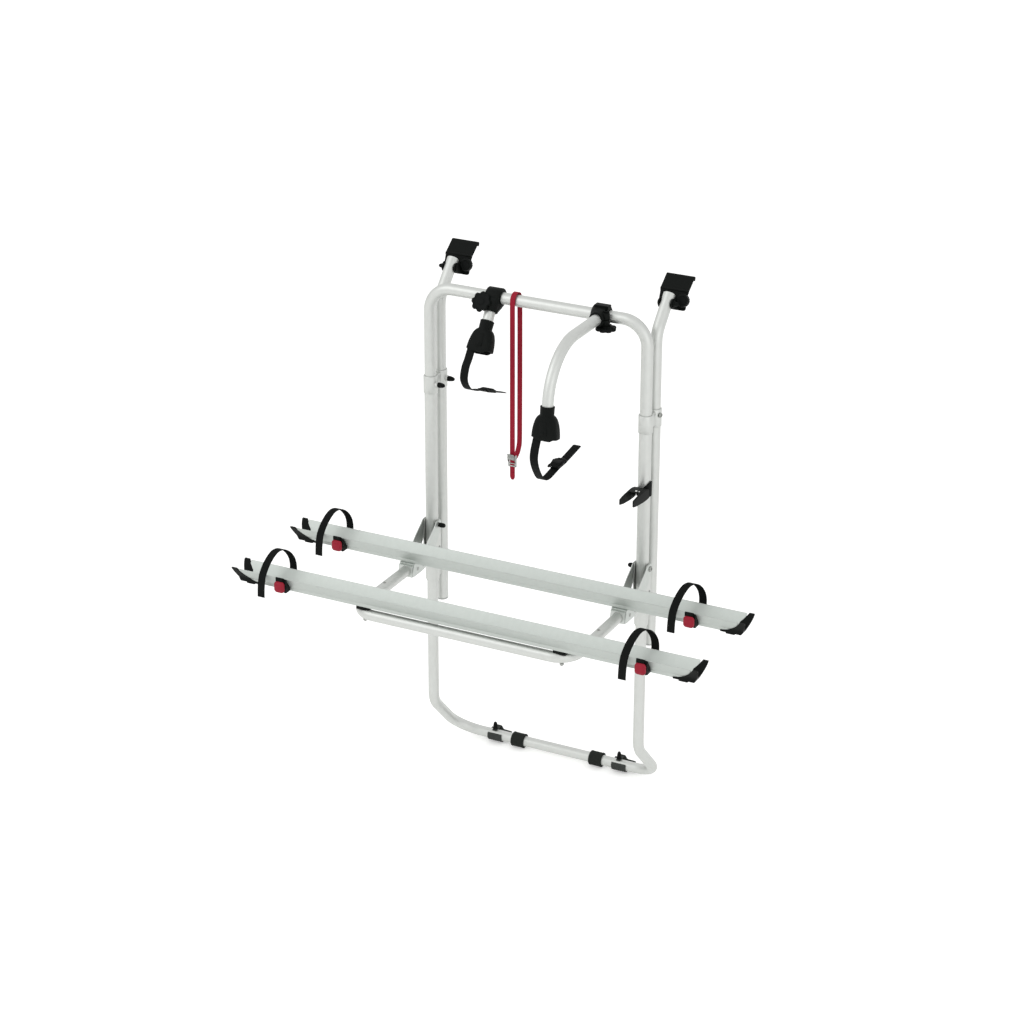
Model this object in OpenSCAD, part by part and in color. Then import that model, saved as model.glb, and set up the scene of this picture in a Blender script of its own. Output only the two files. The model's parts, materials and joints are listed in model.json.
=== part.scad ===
// Wall-hung bike rack for a motorhome: two double posts, a sliding top frame and a
// sliding lower frame, two roof brackets, two lower hooks, a fold-up platform with two
// wheel rails, two bike arms on the top bar and a safety strap.
// Millimetres, +X to the right, +Y towards the vehicle, +Z up. The origin is midway
// between the lower hooks: y = 0 is the vehicle's wall and z = 0 the lower bar's height.

/* [Posts] */
// Distance between the two posts, centre to centre
post_spacing = 600; // [560:10:680]
// Front post tube's axis to the vehicle's wall
post_out = 160; // [150:1:175]
// Front post tube's axis to the rear post tube's axis
tube_pair = 52.7; // [50:0.1:58]
// Outer diameter of the post tubes
post_d = 32; // [31:0.5:33]
// Wall of the post tubes
post_wall = 1.8; // [1.5:0.1:2]
// Height of the front post tubes' lower end
front_post_z = 496; // [480:1:505]
// Height of the rear post tubes' lower end
rear_post_z = 426; // [410:1:440]
// Height of the post tubes' upper end
post_top = 1056; // [1045:1:1065]

/* [Top frame and roof tubes] */
// Outer diameter of the top frame and of the roof tubes
upper_d = 30; // [29:0.5:31]
// Wall of the top frame and of the roof tubes
upper_wall = 1.8; // [1.5:0.1:2.2]
// Height of the top bar's centreline
top_bar_z = 1306.4; // [1290:1:1320]
// Bend radius of the top frame's corners
upper_bend_r = 64; // [55:1:80]
// Length of the reduced tube ends that slide in the post tubes
spigot_l = 170; // [150:5:190]
// Height at which the roof tubes start to bend
roof_bend_z = 1235; // [1225:1:1245]
// Bend radius of the roof tubes
roof_bend_r = 65; // [55:1:75]
// Angle by which the roof tubes bend towards the vehicle
roof_bend_angle = 42.3012; // [38:0.0001:46]
// Straight length of the roof tubes beyond their bend
roof_straight = 84; // [78:1:88]

/* [Lower frame] */
// Outer diameter of the sliding tubes
slide_d = 28; // [27:0.5:28]
// Wall of the sliding tubes
slide_wall = 2; // [1.5:0.1:2.5]
// Lower bar's centreline to the vehicle's wall
lower_bar_out = 24; // [22:1:28]
// Bend radius where the legs turn towards the vehicle
lower_bend_r = 60; // [50:1:70]
// Angle by which the legs turn towards the vehicle
lower_bend_angle = 44.3409; // [42:0.0001:48]
// Bend radius of the lower corners
lower_corner_r = 75; // [65:1:85]
// Length of leg inside the post tubes
leg_grip = 90; // [80:1:100]
// Rubber sleeves' centres from the middle of the lower bar
sleeve_x = 116; // [110:1:120]
// Length of a rubber sleeve
sleeve_l = 44; // [40:1:48]
// Wall of a rubber sleeve
sleeve_wall = 5.5; // [4:0.5:6]
// Lower hooks' centres from the middle of the lower bar
hook_x = 185; // [180:1:188]
// Width of a lower hook
hook_w = 46; // [40:1:50]

/* [Platform] */
// Height of the platform's hinge
pivot_z = 656; // [650:1:662]
// Height of the platform tube's centreline
platform_z = 578; // [574:1:582]
// Front post axis to the platform's front bar
platform_reach = 412; // [400:1:430]
// Bend radius of the platform's corners
platform_corner_r = 55; // [50:1:60]
// Platform's front bar to the front rail's middle
front_rail_in = 10; // [6:1:14]
// Front post axis to the rear rail
rear_rail_out = 117; // [112:1:122]

/* [Rails] */
// Length of a rail over its end caps
rail_l = 1280; // [1100:10:1400]
// Height of a rail
rail_h = 38; // [35:0.5:40]
// Width of a rail across its top
rail_top_w = 64; // [58:1:66]
// Width of a rail's box base
rail_base_w = 29; // [26:1:32]
// Height of a rail's box base
rail_base_h = 9; // [8:0.5:11]
// Wall of the rail
rail_wall = 1.8; // [1.5:0.1:2.2]
// Gap between the platform tube and a rail, filled by the saddles
saddle_h = 6; // [5:0.5:7]
// Wheel straps' centres from the middle of a rail
strap_x = 500; // [460:5:520]
// Width of a wheel strap
strap_w = 18; // [16:1:20]
// Thickness of a wheel strap
strap_t = 1.8; // [1.5:0.1:2.2]

/* [Bike arms] */
// Left arm's place along the top bar
left_arm_x = -118; // [-130:1:-105]
// Right arm's place along the top bar
right_arm_x = 180; // [160:1:190]
// Outer diameter of an arm tube
arm_d = 28; // [26:0.5:29]
// Left arm's angle outward from straight down
left_arm_angle = 34; // [25:1:45]
// Left arm's tube from the top bar to its head
left_arm_l = 80; // [76:1:110]
// Right arm's straight length before its bend
right_arm_l = 159; // [140:1:170]
// Right arm's bend radius
right_arm_bend_r = 143; // [120:1:150]
// Right arm's bend angle
right_arm_bend = 82.7582; // [75:0.0001:88]
// Star knob's diameter over its lobes
star_d = 53; // [48:1:56]

/* [Safety strap] */
// Safety strap's place along the top bar
safety_x = -57.5; // [-66:0.5:-50]
// Width of the safety strap
safety_w = 15; // [13:1:18]
// Thickness of the safety strap
safety_t = 1.5; // [1.2:0.1:2]

/* [Hidden] */

// Facets of a round part, of a small round part and of a hull's own children
round_fn = 64;
small_fn = 32;
hull_fn = 24;

// Clearances: a sliding tube, a seat, a running pin, and the overrun of a cut
slide_gap = 0.2;
seat_gap = 0.3;
pin_gap = 0.06;
over = 1;

// Radii that follow the tubes
post_x = post_spacing / 2;
post_r = post_d / 2;
bore_r = post_r - post_wall;
upper_r = upper_d / 2;
slide_r = slide_d / 2;
arm_r = arm_d / 2;
spigot_r = bore_r - slide_gap;
spigot_wall = 2;

// Collars that join each pair of post tubes at the top
collar_wall = 2;
collar_r = post_r + seat_gap / 3 + collar_wall;
collar_h = 47;
collar_lip = 12;
collar_web_h = 15;
collar_web_w = 9;
boss_r = 8;
boss_l = 4;
collar_top = post_top + collar_lip;

// Clamping knobs on the collars and hinges
knob_r = 7;
knob_l = 20;
knob_tip_r = 4;
stud_r = 3;

// Post brackets, hinge and swing brackets
cheek_t = 2;
cheek_x = post_r + seat_gap / 3;
ring_l = 70;
ring_lift = 4;
ring_bottom_z = front_post_z + ring_lift;
ring_top_z = ring_bottom_z + ring_l;
pivot_r = 5;
pivot_boss_r = 13;
swing_t = 3;
swing_x = cheek_x + cheek_t + seat_gap;
swing_out = swing_x + swing_t;
bracket_back = 28;
bracket_drop = 14;
bracket_round = 4;

// Front post axis to the front rail
front_rail_out = platform_reach - front_rail_in;

// Rail heights and half widths
rail_z = platform_z + slide_r + saddle_h;
rail_top = rail_h;
rail_th = rail_top_w / 2;
rail_bh = rail_base_w / 2;
rail_end_x = rail_l / 2;
rail_slot_w = 8;
rail_end_in = 20;

// End caps of the rails
cap_t = 1.6;
cap_gap = 0.2;
cap_lip_l = 16;
cap_tail_l = 70;
cap_inner_l = 32;
cap_edge_in = 6;
cap_foot_in = 15;

// Rail straps and their buckles
strap_rise = 85;
strap_lean = 35;
strap_rear = 39;
strap_front = 47;
strap_shift = 22;
strap_tail = 60;
buckle_w = 35;
buckle_h = 40;
buckle_x = 496;
buckle_front = 40;
button_w = 13;
button_h = 11;
button_depth = 5;
button_proud = 2.5;

// Bike arm clamps
bush_wall = 1.9;
bush_gap = 0.1;
bush_flange = 1.2;
bush_r = upper_r + bush_gap + bush_wall;
clamp_wall = 7;
clamp_r = bush_r + bush_gap + clamp_wall;
clamp_low = -16;
clamp_high = 24;
clamp_split = 2;
socket_r = arm_r + 5;
socket_start = 21;
socket_end = 40;
lug_r = 9;
lug_low = 17;
bolt_r = 4;
bolt_x = -19;
bolt_t = 23;
star_base = 20.4;
star_h = 14;
star_lobes = 7;
star_lobe_r = 6.5;
arm_wall = 1.8;

// Bike arm heads: neck, hood and pad
neck_r = 17.5;
neck_l = 24;
hood_l = 62;
hood_w = 67;
hood_depth = 31;
hood_mid_w = 58;
hood_mid_depth = 36;
hood_round = 8;
hood_wall = 3;
pad_w = 19;
pad_depth = 24;
pad_drop = 3;

// Roof brackets
roof_w = 75;
roof_t = 4;
roof_plate_l = 50;
roof_plate_lean = 21;
roof_hood_l = 44;
roof_hood_angle = 53.4;
roof_lip = 11;
roof_round = 5;
roof_ear_t = 3;
roof_ear_r = 13;
ear_step = 5.2;
roof_knob_r = 16.2;
roof_knob_x = 31.6;
roof_knob_h = 29.6;
roof_knob_z = 11.8;
roof_knob_rim = 3;
tilt_bolt_r = 3.5;
tilt_knob_r = 5;

// Fold clip
clip_lean = 8;
clip_hole_out = 61;
clip_hole_step = 19;
clip_z = 853;
clip_h = 32;
clip_wall = 3.4;
clip_reach = 105;
clip_prong_x = 15.4;
clip_hole_r = 5;
clip_open = 11;

// Lower hooks
hook_t = 3;
hook_foot = 17;
lower_knob_r = 7;
lower_knob_l = 20;

// Roof tube's upper end, worked out from its bend
roof_end_y = -post_out + tube_pair + roof_bend_r * (1 - cos(roof_bend_angle))
    + roof_straight * sin(roof_bend_angle);
roof_end_z = roof_bend_z + roof_bend_r * sin(roof_bend_angle)
    + roof_straight * cos(roof_bend_angle);
// The roof bracket tilts on a bolt this far below the tube's open end
tilt_back = 24;
tilt_y = roof_end_y - tilt_back * sin(roof_bend_angle);
tilt_z = roof_end_z - tilt_back * cos(roof_bend_angle);
// Distance from the tilt bolt to the bracket's plate
tilt_to_plate = 35.6;

// Lower frame's straight stretches, worked out from its bends
lower_rise = (post_out - lower_bar_out - lower_bend_r * (1 - cos(lower_bend_angle)))
    / tan(lower_bend_angle);
lower_slope = lower_rise / cos(lower_bend_angle) - lower_corner_r;
lower_leg_z = lower_rise + lower_bend_r * sin(lower_bend_angle);

// A straight round bar or a stretch of tube along +Z
module rod(r, l) {
    cylinder(r = r, h = l, $fn = round_fn);
}

// A round bar bent by angle towards +X, starting along +Z at the origin
module elbow(r, bend_r, angle) {
    translate([bend_r, 0, 0])
        rotate([90, 0, 180])
            rotate_extrude(angle = angle, $fn = 2 * round_fn)
                translate([bend_r, 0])
                    circle(r = r, $fn = round_fn);
}

// A run of bars: each step is [length] or [bend radius, angle, roll]
module run(r, steps, i = 0) {
    if (i < len(steps)) {
        step = steps[i];
        if (len(step) == 1) {
            rod(r, step[0]);
            translate([0, 0, step[0]])
                run(r, steps, i + 1);
        } else {
            rotate([0, 0, step[2]]) {
                elbow(r, step[0], step[1]);
                translate([step[0], 0, 0])
                    rotate([0, step[1], 0])
                        translate([-step[0], 0, 0])
                            run(r, steps, i + 1);
            }
        }
    }
}

// Draws its children on the right, or mirrored on the left
module on_side(side) {
    if (side < 0)
        mirror([1, 0, 0]) children();
    else
        children();
}

// A copy on each side of the middle
module both_sides() {
    children();
    mirror([1, 0, 0]) children();
}

// The front post tube's axis, on one side
module at_post(side) {
    translate([side * post_x, -post_out, 0]) children();
}

// A bar along X, centred
module bar_x(r, l) {
    translate([-l / 2, 0, 0])
        rotate([0, 90, 0])
            cylinder(r = r, h = l, $fn = round_fn);
}

// A plate across X whose outline is drawn as (y, z)
module plate_yz(t) {
    rotate([90, 0, 90])
        linear_extrude(height = t)
            children();
}

// Points of a smooth line through a list of points
function bend_point(a, b, c, d, u) =
    0.5 * (2 * b + (c - a) * u + (2 * a - 5 * b + 4 * c - d) * u * u
    + (3 * b - a - 3 * c + d) * u * u * u);
function smooth(p, steps) = concat([for (i = [0:len(p) - 2], k = [0:steps - 1])
    bend_point(p[max(i - 1, 0)], p[i], p[i + 1], p[min(i + 2, len(p) - 1)], k / steps)],
    [p[len(p) - 1]]);
function unit(v) = v / norm(v);
function across(p, i) = let (d = unit(p[min(i + 1, len(p) - 1)] - p[max(i - 1, 0)]))
    [-d[1], d[0]];
function band_outline(p, t) = concat(
    [for (i = [0:len(p) - 1]) p[i] + across(p, i) * t / 2],
    [for (i = [len(p) - 1:-1:0]) p[i] - across(p, i) * t / 2]);

// A flat band along a line of (y, z) points, centred on x = 0
module band(p, w, t) {
    translate([-w / 2, 0, 0])
        plate_yz(w)
            polygon(band_outline(p, t));
}

// Post tubes
module front_tube(side) {
    color("silver")
        at_post(side)
            difference() {
                translate([0, 0, front_post_z])
                    rod(post_r, post_top - front_post_z);
                translate([0, 0, front_post_z - over])
                    rod(bore_r, post_top - front_post_z + 2 * over);
                translate([0, 0, pivot_z])
                    bar_x(pivot_r + pin_gap, post_d + 2 * over);
            }
}

module rear_tube(side) {
    color("silver")
        at_post(side)
            translate([0, tube_pair, rear_post_z])
                difference() {
                    rod(post_r, post_top - rear_post_z);
                    translate([0, 0, -over])
                        rod(bore_r, post_top - rear_post_z + 2 * over);
                }
}

module left_front_tube() { front_tube(-1); }
module right_front_tube() { front_tube(1); }
module left_rear_tube() { rear_tube(-1); }
module right_rear_tube() { rear_tube(1); }

// Plugs in the rear tubes' lower ends
plug_h = 6;
plug_in = 15;
plug_round = 3;

module rear_tube_plugs() {
    color("gainsboro")
        for (side = [-1, 1])
            at_post(side)
                translate([0, tube_pair, rear_post_z])
                    rotate_extrude($fn = round_fn)
                        polygon([[0, -plug_h], [post_r - plug_round, -plug_h],
                            [post_r - plug_round / 3, -plug_h + plug_round / 3],
                            [post_r, -plug_h + plug_round], [post_r, 0],
                            [bore_r - slide_gap, 0], [bore_r - slide_gap, plug_in],
                            [0, plug_in]]);
}

// Collar round both tubes of one post, with bosses for its clamping screws
module collar(side, boss_side) {
    color("silver")
        at_post(side)
            difference() {
                union() {
                    for (y = [0, tube_pair])
                        translate([0, y, collar_top - collar_h])
                            rod(collar_r, collar_h);
                    translate([-collar_web_w / 2, 0, collar_top - collar_web_h])
                        cube([collar_web_w, tube_pair, collar_web_h]);
                    for (y = [0, tube_pair])
                        translate([0, y, collar_top - collar_h / 2])
                            rotate([0, 90 * boss_side, 0])
                                cylinder(r = boss_r, h = collar_r + boss_l, $fn = small_fn);
                }
                for (y = [0, tube_pair]) {
                    translate([0, y, collar_top - collar_h - over])
                        rod(post_r + seat_gap / 3, collar_h - collar_lip + over + seat_gap);
                    translate([0, y, collar_top - collar_h])
                        rod(upper_r + slide_gap, collar_h + over);
                    translate([0, y, collar_top - collar_h / 2])
                        rotate([0, 90 * boss_side, 0])
                            cylinder(r = stud_r + pin_gap, h = collar_r + boss_l + over,
                                $fn = small_fn);
                }
            }
}

module left_collar() { collar(-1, 1); }
module right_collar() { collar(1, 1); }

// A tapered knob along +X whose stud reaches back to x = 0
module cone_knob(stud_l) {
    rotate([0, 90, 0])
        rotate_extrude($fn = small_fn)
            polygon([[0, 0], [stud_r, 0], [stud_r, stud_l], [knob_r, stud_l],
                [knob_r, stud_l + knob_l / 3], [knob_tip_r, stud_l + knob_l],
                [0, stud_l + knob_l]]);
}

module collar_knob(y) {
    stud_start = post_r + seat_gap;
    color("dimgray")
        at_post(-1)
            translate([stud_start, y, collar_top - collar_h / 2])
                cone_knob(collar_r + boss_l + seat_gap - stud_start);
}

module left_front_knob() { collar_knob(0); }
module left_rear_knob() { collar_knob(tube_pair); }

// Screws in the right-hand collar, which has no knobs
screw_head_r = 6;
screw_head_h = 4;

module right_collar_bolts() {
    stud_start = post_r + seat_gap;
    color("gray")
        at_post(1)
            for (y = [0, tube_pair])
                translate([stud_start, y, collar_top - collar_h / 2])
                    rotate([0, 90, 0]) {
                        cylinder(r = stud_r, h = collar_r + boss_l - stud_start,
                            $fn = small_fn);
                        translate([0, 0, collar_r + boss_l - stud_start])
                            cylinder(r = screw_head_r, h = screw_head_h, $fn = small_fn);
                    }
}

// Top frame: one bent tube with reduced ends that slide in the front posts
upper_leg = top_bar_z - upper_bend_r - post_top - seat_gap;

module upper_solid(r, leg) {
    half = post_x - upper_bend_r;
    translate([-half, 0, top_bar_z])
        rotate([0, 90, 0])
            rod(r, 2 * half);
    both_sides()
        translate([half, 0, top_bar_z])
            rotate([0, 90, 0])
                run(r, [[upper_bend_r, 90, 0], [leg]]);
}

module upper_frame() {
    color("gainsboro")
        translate([0, -post_out, 0])
            difference() {
                union() {
                    upper_solid(upper_r, upper_leg);
                    for (side = [-1, 1])
                        translate([side * post_x, 0, post_top + seat_gap - spigot_l])
                            rod(spigot_r, spigot_l);
                }
                upper_solid(upper_r - upper_wall, upper_leg - upper_wall);
                for (side = [-1, 1])
                    translate([side * post_x, 0, post_top + seat_gap - spigot_l - over])
                        rod(spigot_r - spigot_wall, spigot_l + over + 2 * upper_wall);
            }
}

// Roof tubes: they slide in the rear posts and bend over to the roof brackets
module roof_solid(r, extra) {
    translate([0, 0, post_top + seat_gap])
        run(r, [[roof_bend_z - post_top - seat_gap], [roof_bend_r, roof_bend_angle, 90],
            [roof_straight + extra]]);
}

module roof_tube(side) {
    color("gainsboro")
        at_post(side)
            difference() {
                translate([0, tube_pair, 0])
                    union() {
                        roof_solid(upper_r, 0);
                        translate([0, 0, post_top + seat_gap - spigot_l])
                            rod(spigot_r, spigot_l);
                    }
                translate([0, tube_pair, 0]) {
                    roof_solid(spigot_r - spigot_wall, over);
                    translate([0, 0, post_top + seat_gap - spigot_l - over])
                        rod(spigot_r - spigot_wall, spigot_l + over + seat_gap);
                }
                translate([0, post_out + tilt_y, tilt_z])
                    bar_x(tilt_bolt_r + pin_gap, upper_d + 2 * over);
            }
}

module left_roof_tube() { roof_tube(-1); }
module right_roof_tube() { roof_tube(1); }

// Lower frame: legs slide in the front posts, turn in to the wall and join at the bar
module lower_solid(r, extra) {
    half = post_x - lower_corner_r;
    translate([-half, -lower_bar_out, 0])
        rotate([0, 90, 0])
            rod(r, 2 * half);
    both_sides()
        translate([half, -lower_bar_out, 0])
            rotate([0, 90, 0])
                run(r, [[lower_corner_r, 90, 180 + lower_bend_angle], [lower_slope],
                    [lower_bend_r, lower_bend_angle, -90],
                    [front_post_z + leg_grip - lower_leg_z + extra]]);
}

module lower_frame() {
    color("gainsboro")
        difference() {
            lower_solid(slide_r, 0);
            lower_solid(slide_r - slide_wall, over);
        }
}

// Rubber sleeves on the lower bar
module bar_sleeves() {
    color("dimgray")
        for (side = [-1, 1])
            translate([side * sleeve_x, -lower_bar_out, 0])
                difference() {
                    bar_x(slide_r + sleeve_wall, sleeve_l);
                    bar_x(slide_r + seat_gap / 3, sleeve_l + 2 * over);
                }
}

// Lower hooks: a strip bent round the bar, with a clamping screw on top
hook_in_r = slide_r + seat_gap;
hook_out_r = hook_in_r + hook_t;
hook_lip = 11;
hook_tab_h = 21;
hook_wall_y = lower_bar_out - seat_gap;

module hook_outline() {
    difference() {
        union() {
            circle(r = hook_out_r, $fn = round_fn);
            translate([0, -hook_out_r])
                square([hook_wall_y, hook_t]);
            translate([0, hook_out_r - hook_t])
                square([hook_wall_y, hook_t]);
            translate([hook_wall_y - hook_t, -hook_tab_h])
                square([hook_t, 2 * hook_tab_h]);
        }
        circle(r = hook_in_r, $fn = round_fn);
        translate([0, -hook_out_r + hook_t])
            square([hook_wall_y - hook_t, 2 * hook_in_r]);
        translate([-hook_out_r - over, hook_lip])
            square([hook_out_r + over - hook_lip, hook_out_r]);
    }
}

module lower_hook(side) {
    color("dimgray")
        translate([side * hook_x, -lower_bar_out, 0])
            difference() {
                union() {
                    translate([-hook_w / 2, 0, 0])
                        plate_yz(hook_w)
                            hook_outline();
                    translate([hook_w / 2, hook_wall_y - hook_t, -hook_tab_h])
                        cube([hook_foot, hook_t, 2 * hook_tab_h]);
                }
                translate([0, 0, slide_r - over])
                    cylinder(r = stud_r + pin_gap, h = hook_out_r, $fn = small_fn);
                translate([hook_w / 2 + hook_foot / 2, hook_wall_y + over, 0])
                    rotate([90, 0, 0])
                        cylinder(r = stud_r + pin_gap, h = 2 * hook_t, $fn = small_fn);
            }
}

module left_lower_hook() { lower_hook(-1); }
module right_lower_hook() { lower_hook(1); }

module lower_knob(side) {
    color("dimgray")
        translate([side * hook_x, -lower_bar_out, slide_r + seat_gap / 2])
            rotate_extrude($fn = small_fn)
                polygon([[0, 0], [stud_r, 0], [stud_r, hook_t + 2 * seat_gap],
                    [lower_knob_r, hook_t + 2 * seat_gap],
                    [lower_knob_r, hook_t + lower_knob_l / 2],
                    [knob_tip_r, hook_t + lower_knob_l], [0, hook_t + lower_knob_l]]);
}

module left_lower_knob() { lower_knob(-1); }
module right_lower_knob() { lower_knob(1); }

// Roof brackets: a leaning plate with a hood over the roof's edge and two ears
module at_tilt(side) {
    translate([side * post_x, tilt_y, tilt_z])
        rotate([-roof_plate_lean, 0, 0])
            children();
}

plate_low = -13.2;

module roof_bracket_outline() {
    knee = plate_low + roof_plate_l;
    translate([tilt_to_plate, plate_low])
        square([roof_t, roof_plate_l]);
    translate([tilt_to_plate + roof_t / 2, knee])
        circle(r = roof_t / 2 + roof_t / 4, $fn = small_fn);
    translate([tilt_to_plate, knee])
        rotate(-roof_hood_angle + roof_plate_lean) {
            square([roof_t, roof_hood_l]);
            translate([0, roof_hood_l])
                rotate(roof_hood_angle - 90)
                    translate([0, -roof_t])
                        square([roof_lip, roof_t]);
        }
}

module roof_bracket(side) {
    color("dimgray")
        at_tilt(side)
            difference() {
                union() {
                    translate([-roof_w / 2, 0, 0])
                        plate_yz(roof_w)
                            roof_bracket_outline();
                    for (x = [-1, 1])
                        translate([x * (upper_r + seat_gap + roof_ear_t / 2), 0, 0]) {
                            bar_x(roof_ear_r, roof_ear_t);
                            translate([-roof_ear_t / 2, 0, -roof_ear_r])
                                cube([roof_ear_t, tilt_to_plate + over, 2 * roof_ear_r]);
                        }
                }
                translate([0, ear_step, 0])
                    cube([roof_w / 2, tilt_to_plate - ear_step, roof_w]);
                bar_x(tilt_bolt_r + pin_gap, roof_w);
                translate([roof_knob_x, tilt_to_plate - over, roof_knob_z])
                    rotate([-90, 0, 0])
                        cylinder(r = tilt_bolt_r + pin_gap, h = roof_t + 2 * over,
                            $fn = small_fn);
            }
}

module left_roof_bracket() { roof_bracket(-1); }
module right_roof_bracket() { roof_bracket(1); }

// Round clamping knob on a roof bracket, square to its plate
module roof_knob(side) {
    color("dimgray")
        at_tilt(side)
            translate([roof_knob_x, tilt_to_plate - seat_gap, roof_knob_z])
                rotate([90, 0, 0]) {
                    rotate_extrude($fn = round_fn)
                        polygon([[0, 0], [roof_knob_r - roof_knob_rim, 0],
                            [roof_knob_r, roof_knob_rim],
                            [roof_knob_r, roof_knob_h - roof_knob_rim],
                            [roof_knob_r - roof_knob_rim, roof_knob_h], [0, roof_knob_h]]);
                    translate([0, 0, -roof_t])
                        cylinder(r = tilt_bolt_r, h = roof_t + over, $fn = small_fn);
                }
}

module left_roof_knob() { roof_knob(-1); }
module right_roof_knob() { roof_knob(1); }

// Cross bolt that a roof bracket tilts on, with a small knob on its outer end
module tilt_knob(side) {
    reach = upper_r + 2 * seat_gap + roof_ear_t;
    color("dimgray")
        at_tilt(side)
            on_side(side) {
                bar_x(tilt_bolt_r, 2 * reach);
                translate([-reach - screw_head_h, 0, 0])
                    rotate([0, 90, 0])
                        cylinder(r = tilt_knob_r, h = screw_head_h, $fn = small_fn);
                translate([reach, 0, 0])
                    rotate([0, 90, 0])
                        rotate_extrude($fn = small_fn)
                            polygon([[0, 0], [tilt_knob_r, 0],
                                [tilt_knob_r, screw_head_h], [stud_r, 3 * screw_head_h],
                                [0, 3 * screw_head_h]]);
            }
}

module left_tilt_knob() { tilt_knob(-1); }
module right_tilt_knob() { tilt_knob(1); }

// Post bracket: a ring round both tubes with two cheeks that carry the hinge bolt
module pair_ring(r) {
    circle(r = r, $fn = round_fn);
    translate([0, tube_pair])
        circle(r = r, $fn = round_fn);
    translate([-r, 0])
        square([2 * r, tube_pair]);
}

module cheek_outline() {
    difference() {
        union() {
            polygon([[-post_r, ring_top_z - over], [-pivot_boss_r, pivot_z],
                [pivot_boss_r, pivot_z], [bracket_back, pivot_z - pivot_boss_r],
                [tube_pair, ring_top_z + 3 * bracket_drop],
                [tube_pair, ring_top_z - over]]);
            translate([0, pivot_z])
                circle(r = pivot_boss_r, $fn = round_fn);
        }
        translate([0, pivot_z])
            circle(r = pivot_r + pin_gap, $fn = round_fn);
    }
}

module post_bracket(side) {
    color("silver")
        at_post(side) {
            translate([0, 0, ring_bottom_z])
                linear_extrude(height = ring_top_z - ring_bottom_z)
                    difference() {
                        pair_ring(cheek_x + cheek_t);
                        pair_ring(cheek_x);
                    }
            for (x = [-cheek_x - cheek_t, cheek_x])
                translate([x, 0, 0])
                    plate_yz(cheek_t)
                        cheek_outline();
        }
}

module left_post_bracket() { post_bracket(-1); }
module right_post_bracket() { post_bracket(1); }

// Hinge bolts, one through each post, with their heads on the outer side
module pivot_bolts() {
    color("gray")
        for (side = [-1, 1])
            at_post(side)
                on_side(side)
                    translate([0, 0, pivot_z]) {
                        bar_x(pivot_r, 2 * (swing_out + seat_gap));
                        translate([swing_out + seat_gap, 0, 0])
                            rotate([0, 90, 0])
                                cylinder(r = 1.6 * pivot_r, h = screw_head_h, $fn = 6);
                    }
}

// Hinge knobs on the inner side of each post
pivot_knob_r = 11;

module pivot_knob(side) {
    start = swing_out + 2 * seat_gap;
    color("dimgray")
        at_post(side)
            on_side(-side)
                translate([start, 0, pivot_z])
                    rotate([0, 90, 0])
                        rotate_extrude($fn = small_fn)
                            polygon([[0, 0], [pivot_knob_r, 0],
                                [pivot_knob_r, knob_l / 3], [knob_r, knob_l],
                                [0, knob_l]]);
}

module left_pivot_knob() { pivot_knob(-1); }
module right_pivot_knob() { pivot_knob(1); }

// Swing brackets: two cheeks on each post's hinge, joined by a saddle under the rear rail
web_t = 3;
spacer_r = 7;
swing_bolt_r = 4;
swing_bolts_y = [-rear_rail_out, -rear_rail_out + rail_base_w + over];
// Outline of a swing cheek, as shares of the rear rail's reach and of the platform's drop
swing_top_shares = [[-0.05, -0.167], [0.24, -0.167], [0.487, 0.256], [0.752, 0.667]];
swing_foot_shares = [[1.222, 1.115], [1.197, 1.192], [0.641, 1.192], [0.171, 0.679],
    [-0.103, 0.103]];
function swing_at(s) = [-s[0] * rear_rail_out, pivot_z - s[1] * (pivot_z - platform_z)];
swing_points = concat([for (s = swing_top_shares) swing_at(s)],
    [[rail_bh - rear_rail_out, rail_z - seat_gap], [-rail_bh - rear_rail_out, rail_z - seat_gap]],
    [for (s = swing_foot_shares) swing_at(s)]);

module swing_outline() {
    difference() {
        union() {
            polygon(swing_points);
            translate([0, pivot_z])
                circle(r = pivot_boss_r, $fn = round_fn);
        }
        translate([0, pivot_z])
            circle(r = pivot_r + pin_gap, $fn = round_fn);
        for (y = swing_bolts_y)
            translate([y, platform_z])
                circle(r = swing_bolt_r + pin_gap, $fn = small_fn);
    }
}

module swing_bracket(side) {
    color("lightgray")
        at_post(side) {
            for (x = [-swing_out, swing_x])
                translate([x, 0, 0])
                    plate_yz(swing_t)
                        swing_outline();
            translate([-swing_x, -rear_rail_out - rail_bh, rail_z - seat_gap - web_t])
                difference() {
                    cube([2 * swing_x, rail_base_w, web_t]);
                    translate([swing_x, rail_bh, -over])
                        cylinder(r = swing_bolt_r + pin_gap, h = web_t + 2 * over,
                            $fn = small_fn);
                }
            for (y = swing_bolts_y, x = [-swing_x, slide_r + seat_gap])
                translate([x, y, platform_z])
                    rotate([0, 90, 0])
                        difference() {
                            cylinder(r = spacer_r, h = swing_x - slide_r - seat_gap,
                                $fn = small_fn);
                            translate([0, 0, -over])
                                cylinder(r = swing_bolt_r + pin_gap, h = swing_x,
                                    $fn = small_fn);
                        }
        }
}

module left_swing_bracket() { swing_bracket(-1); }
module right_swing_bracket() { swing_bracket(1); }

// Cross bolts that hold the platform tube in the swing brackets
module swing_bolts() {
    color("gray")
        for (side = [-1, 1], y = swing_bolts_y)
            at_post(side)
                translate([0, y, platform_z]) {
                    bar_x(swing_bolt_r, 2 * swing_out + seat_gap);
                    for (x = [-swing_out - screw_head_h, swing_out])
                        translate([x, 0, 0])
                            rotate([0, 90, 0])
                                cylinder(r = screw_head_r, h = screw_head_h, $fn = 6);
                }
}

// Platform tube: a flat U whose arms end between the swing bracket's cheeks
platform_back = 62;

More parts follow.
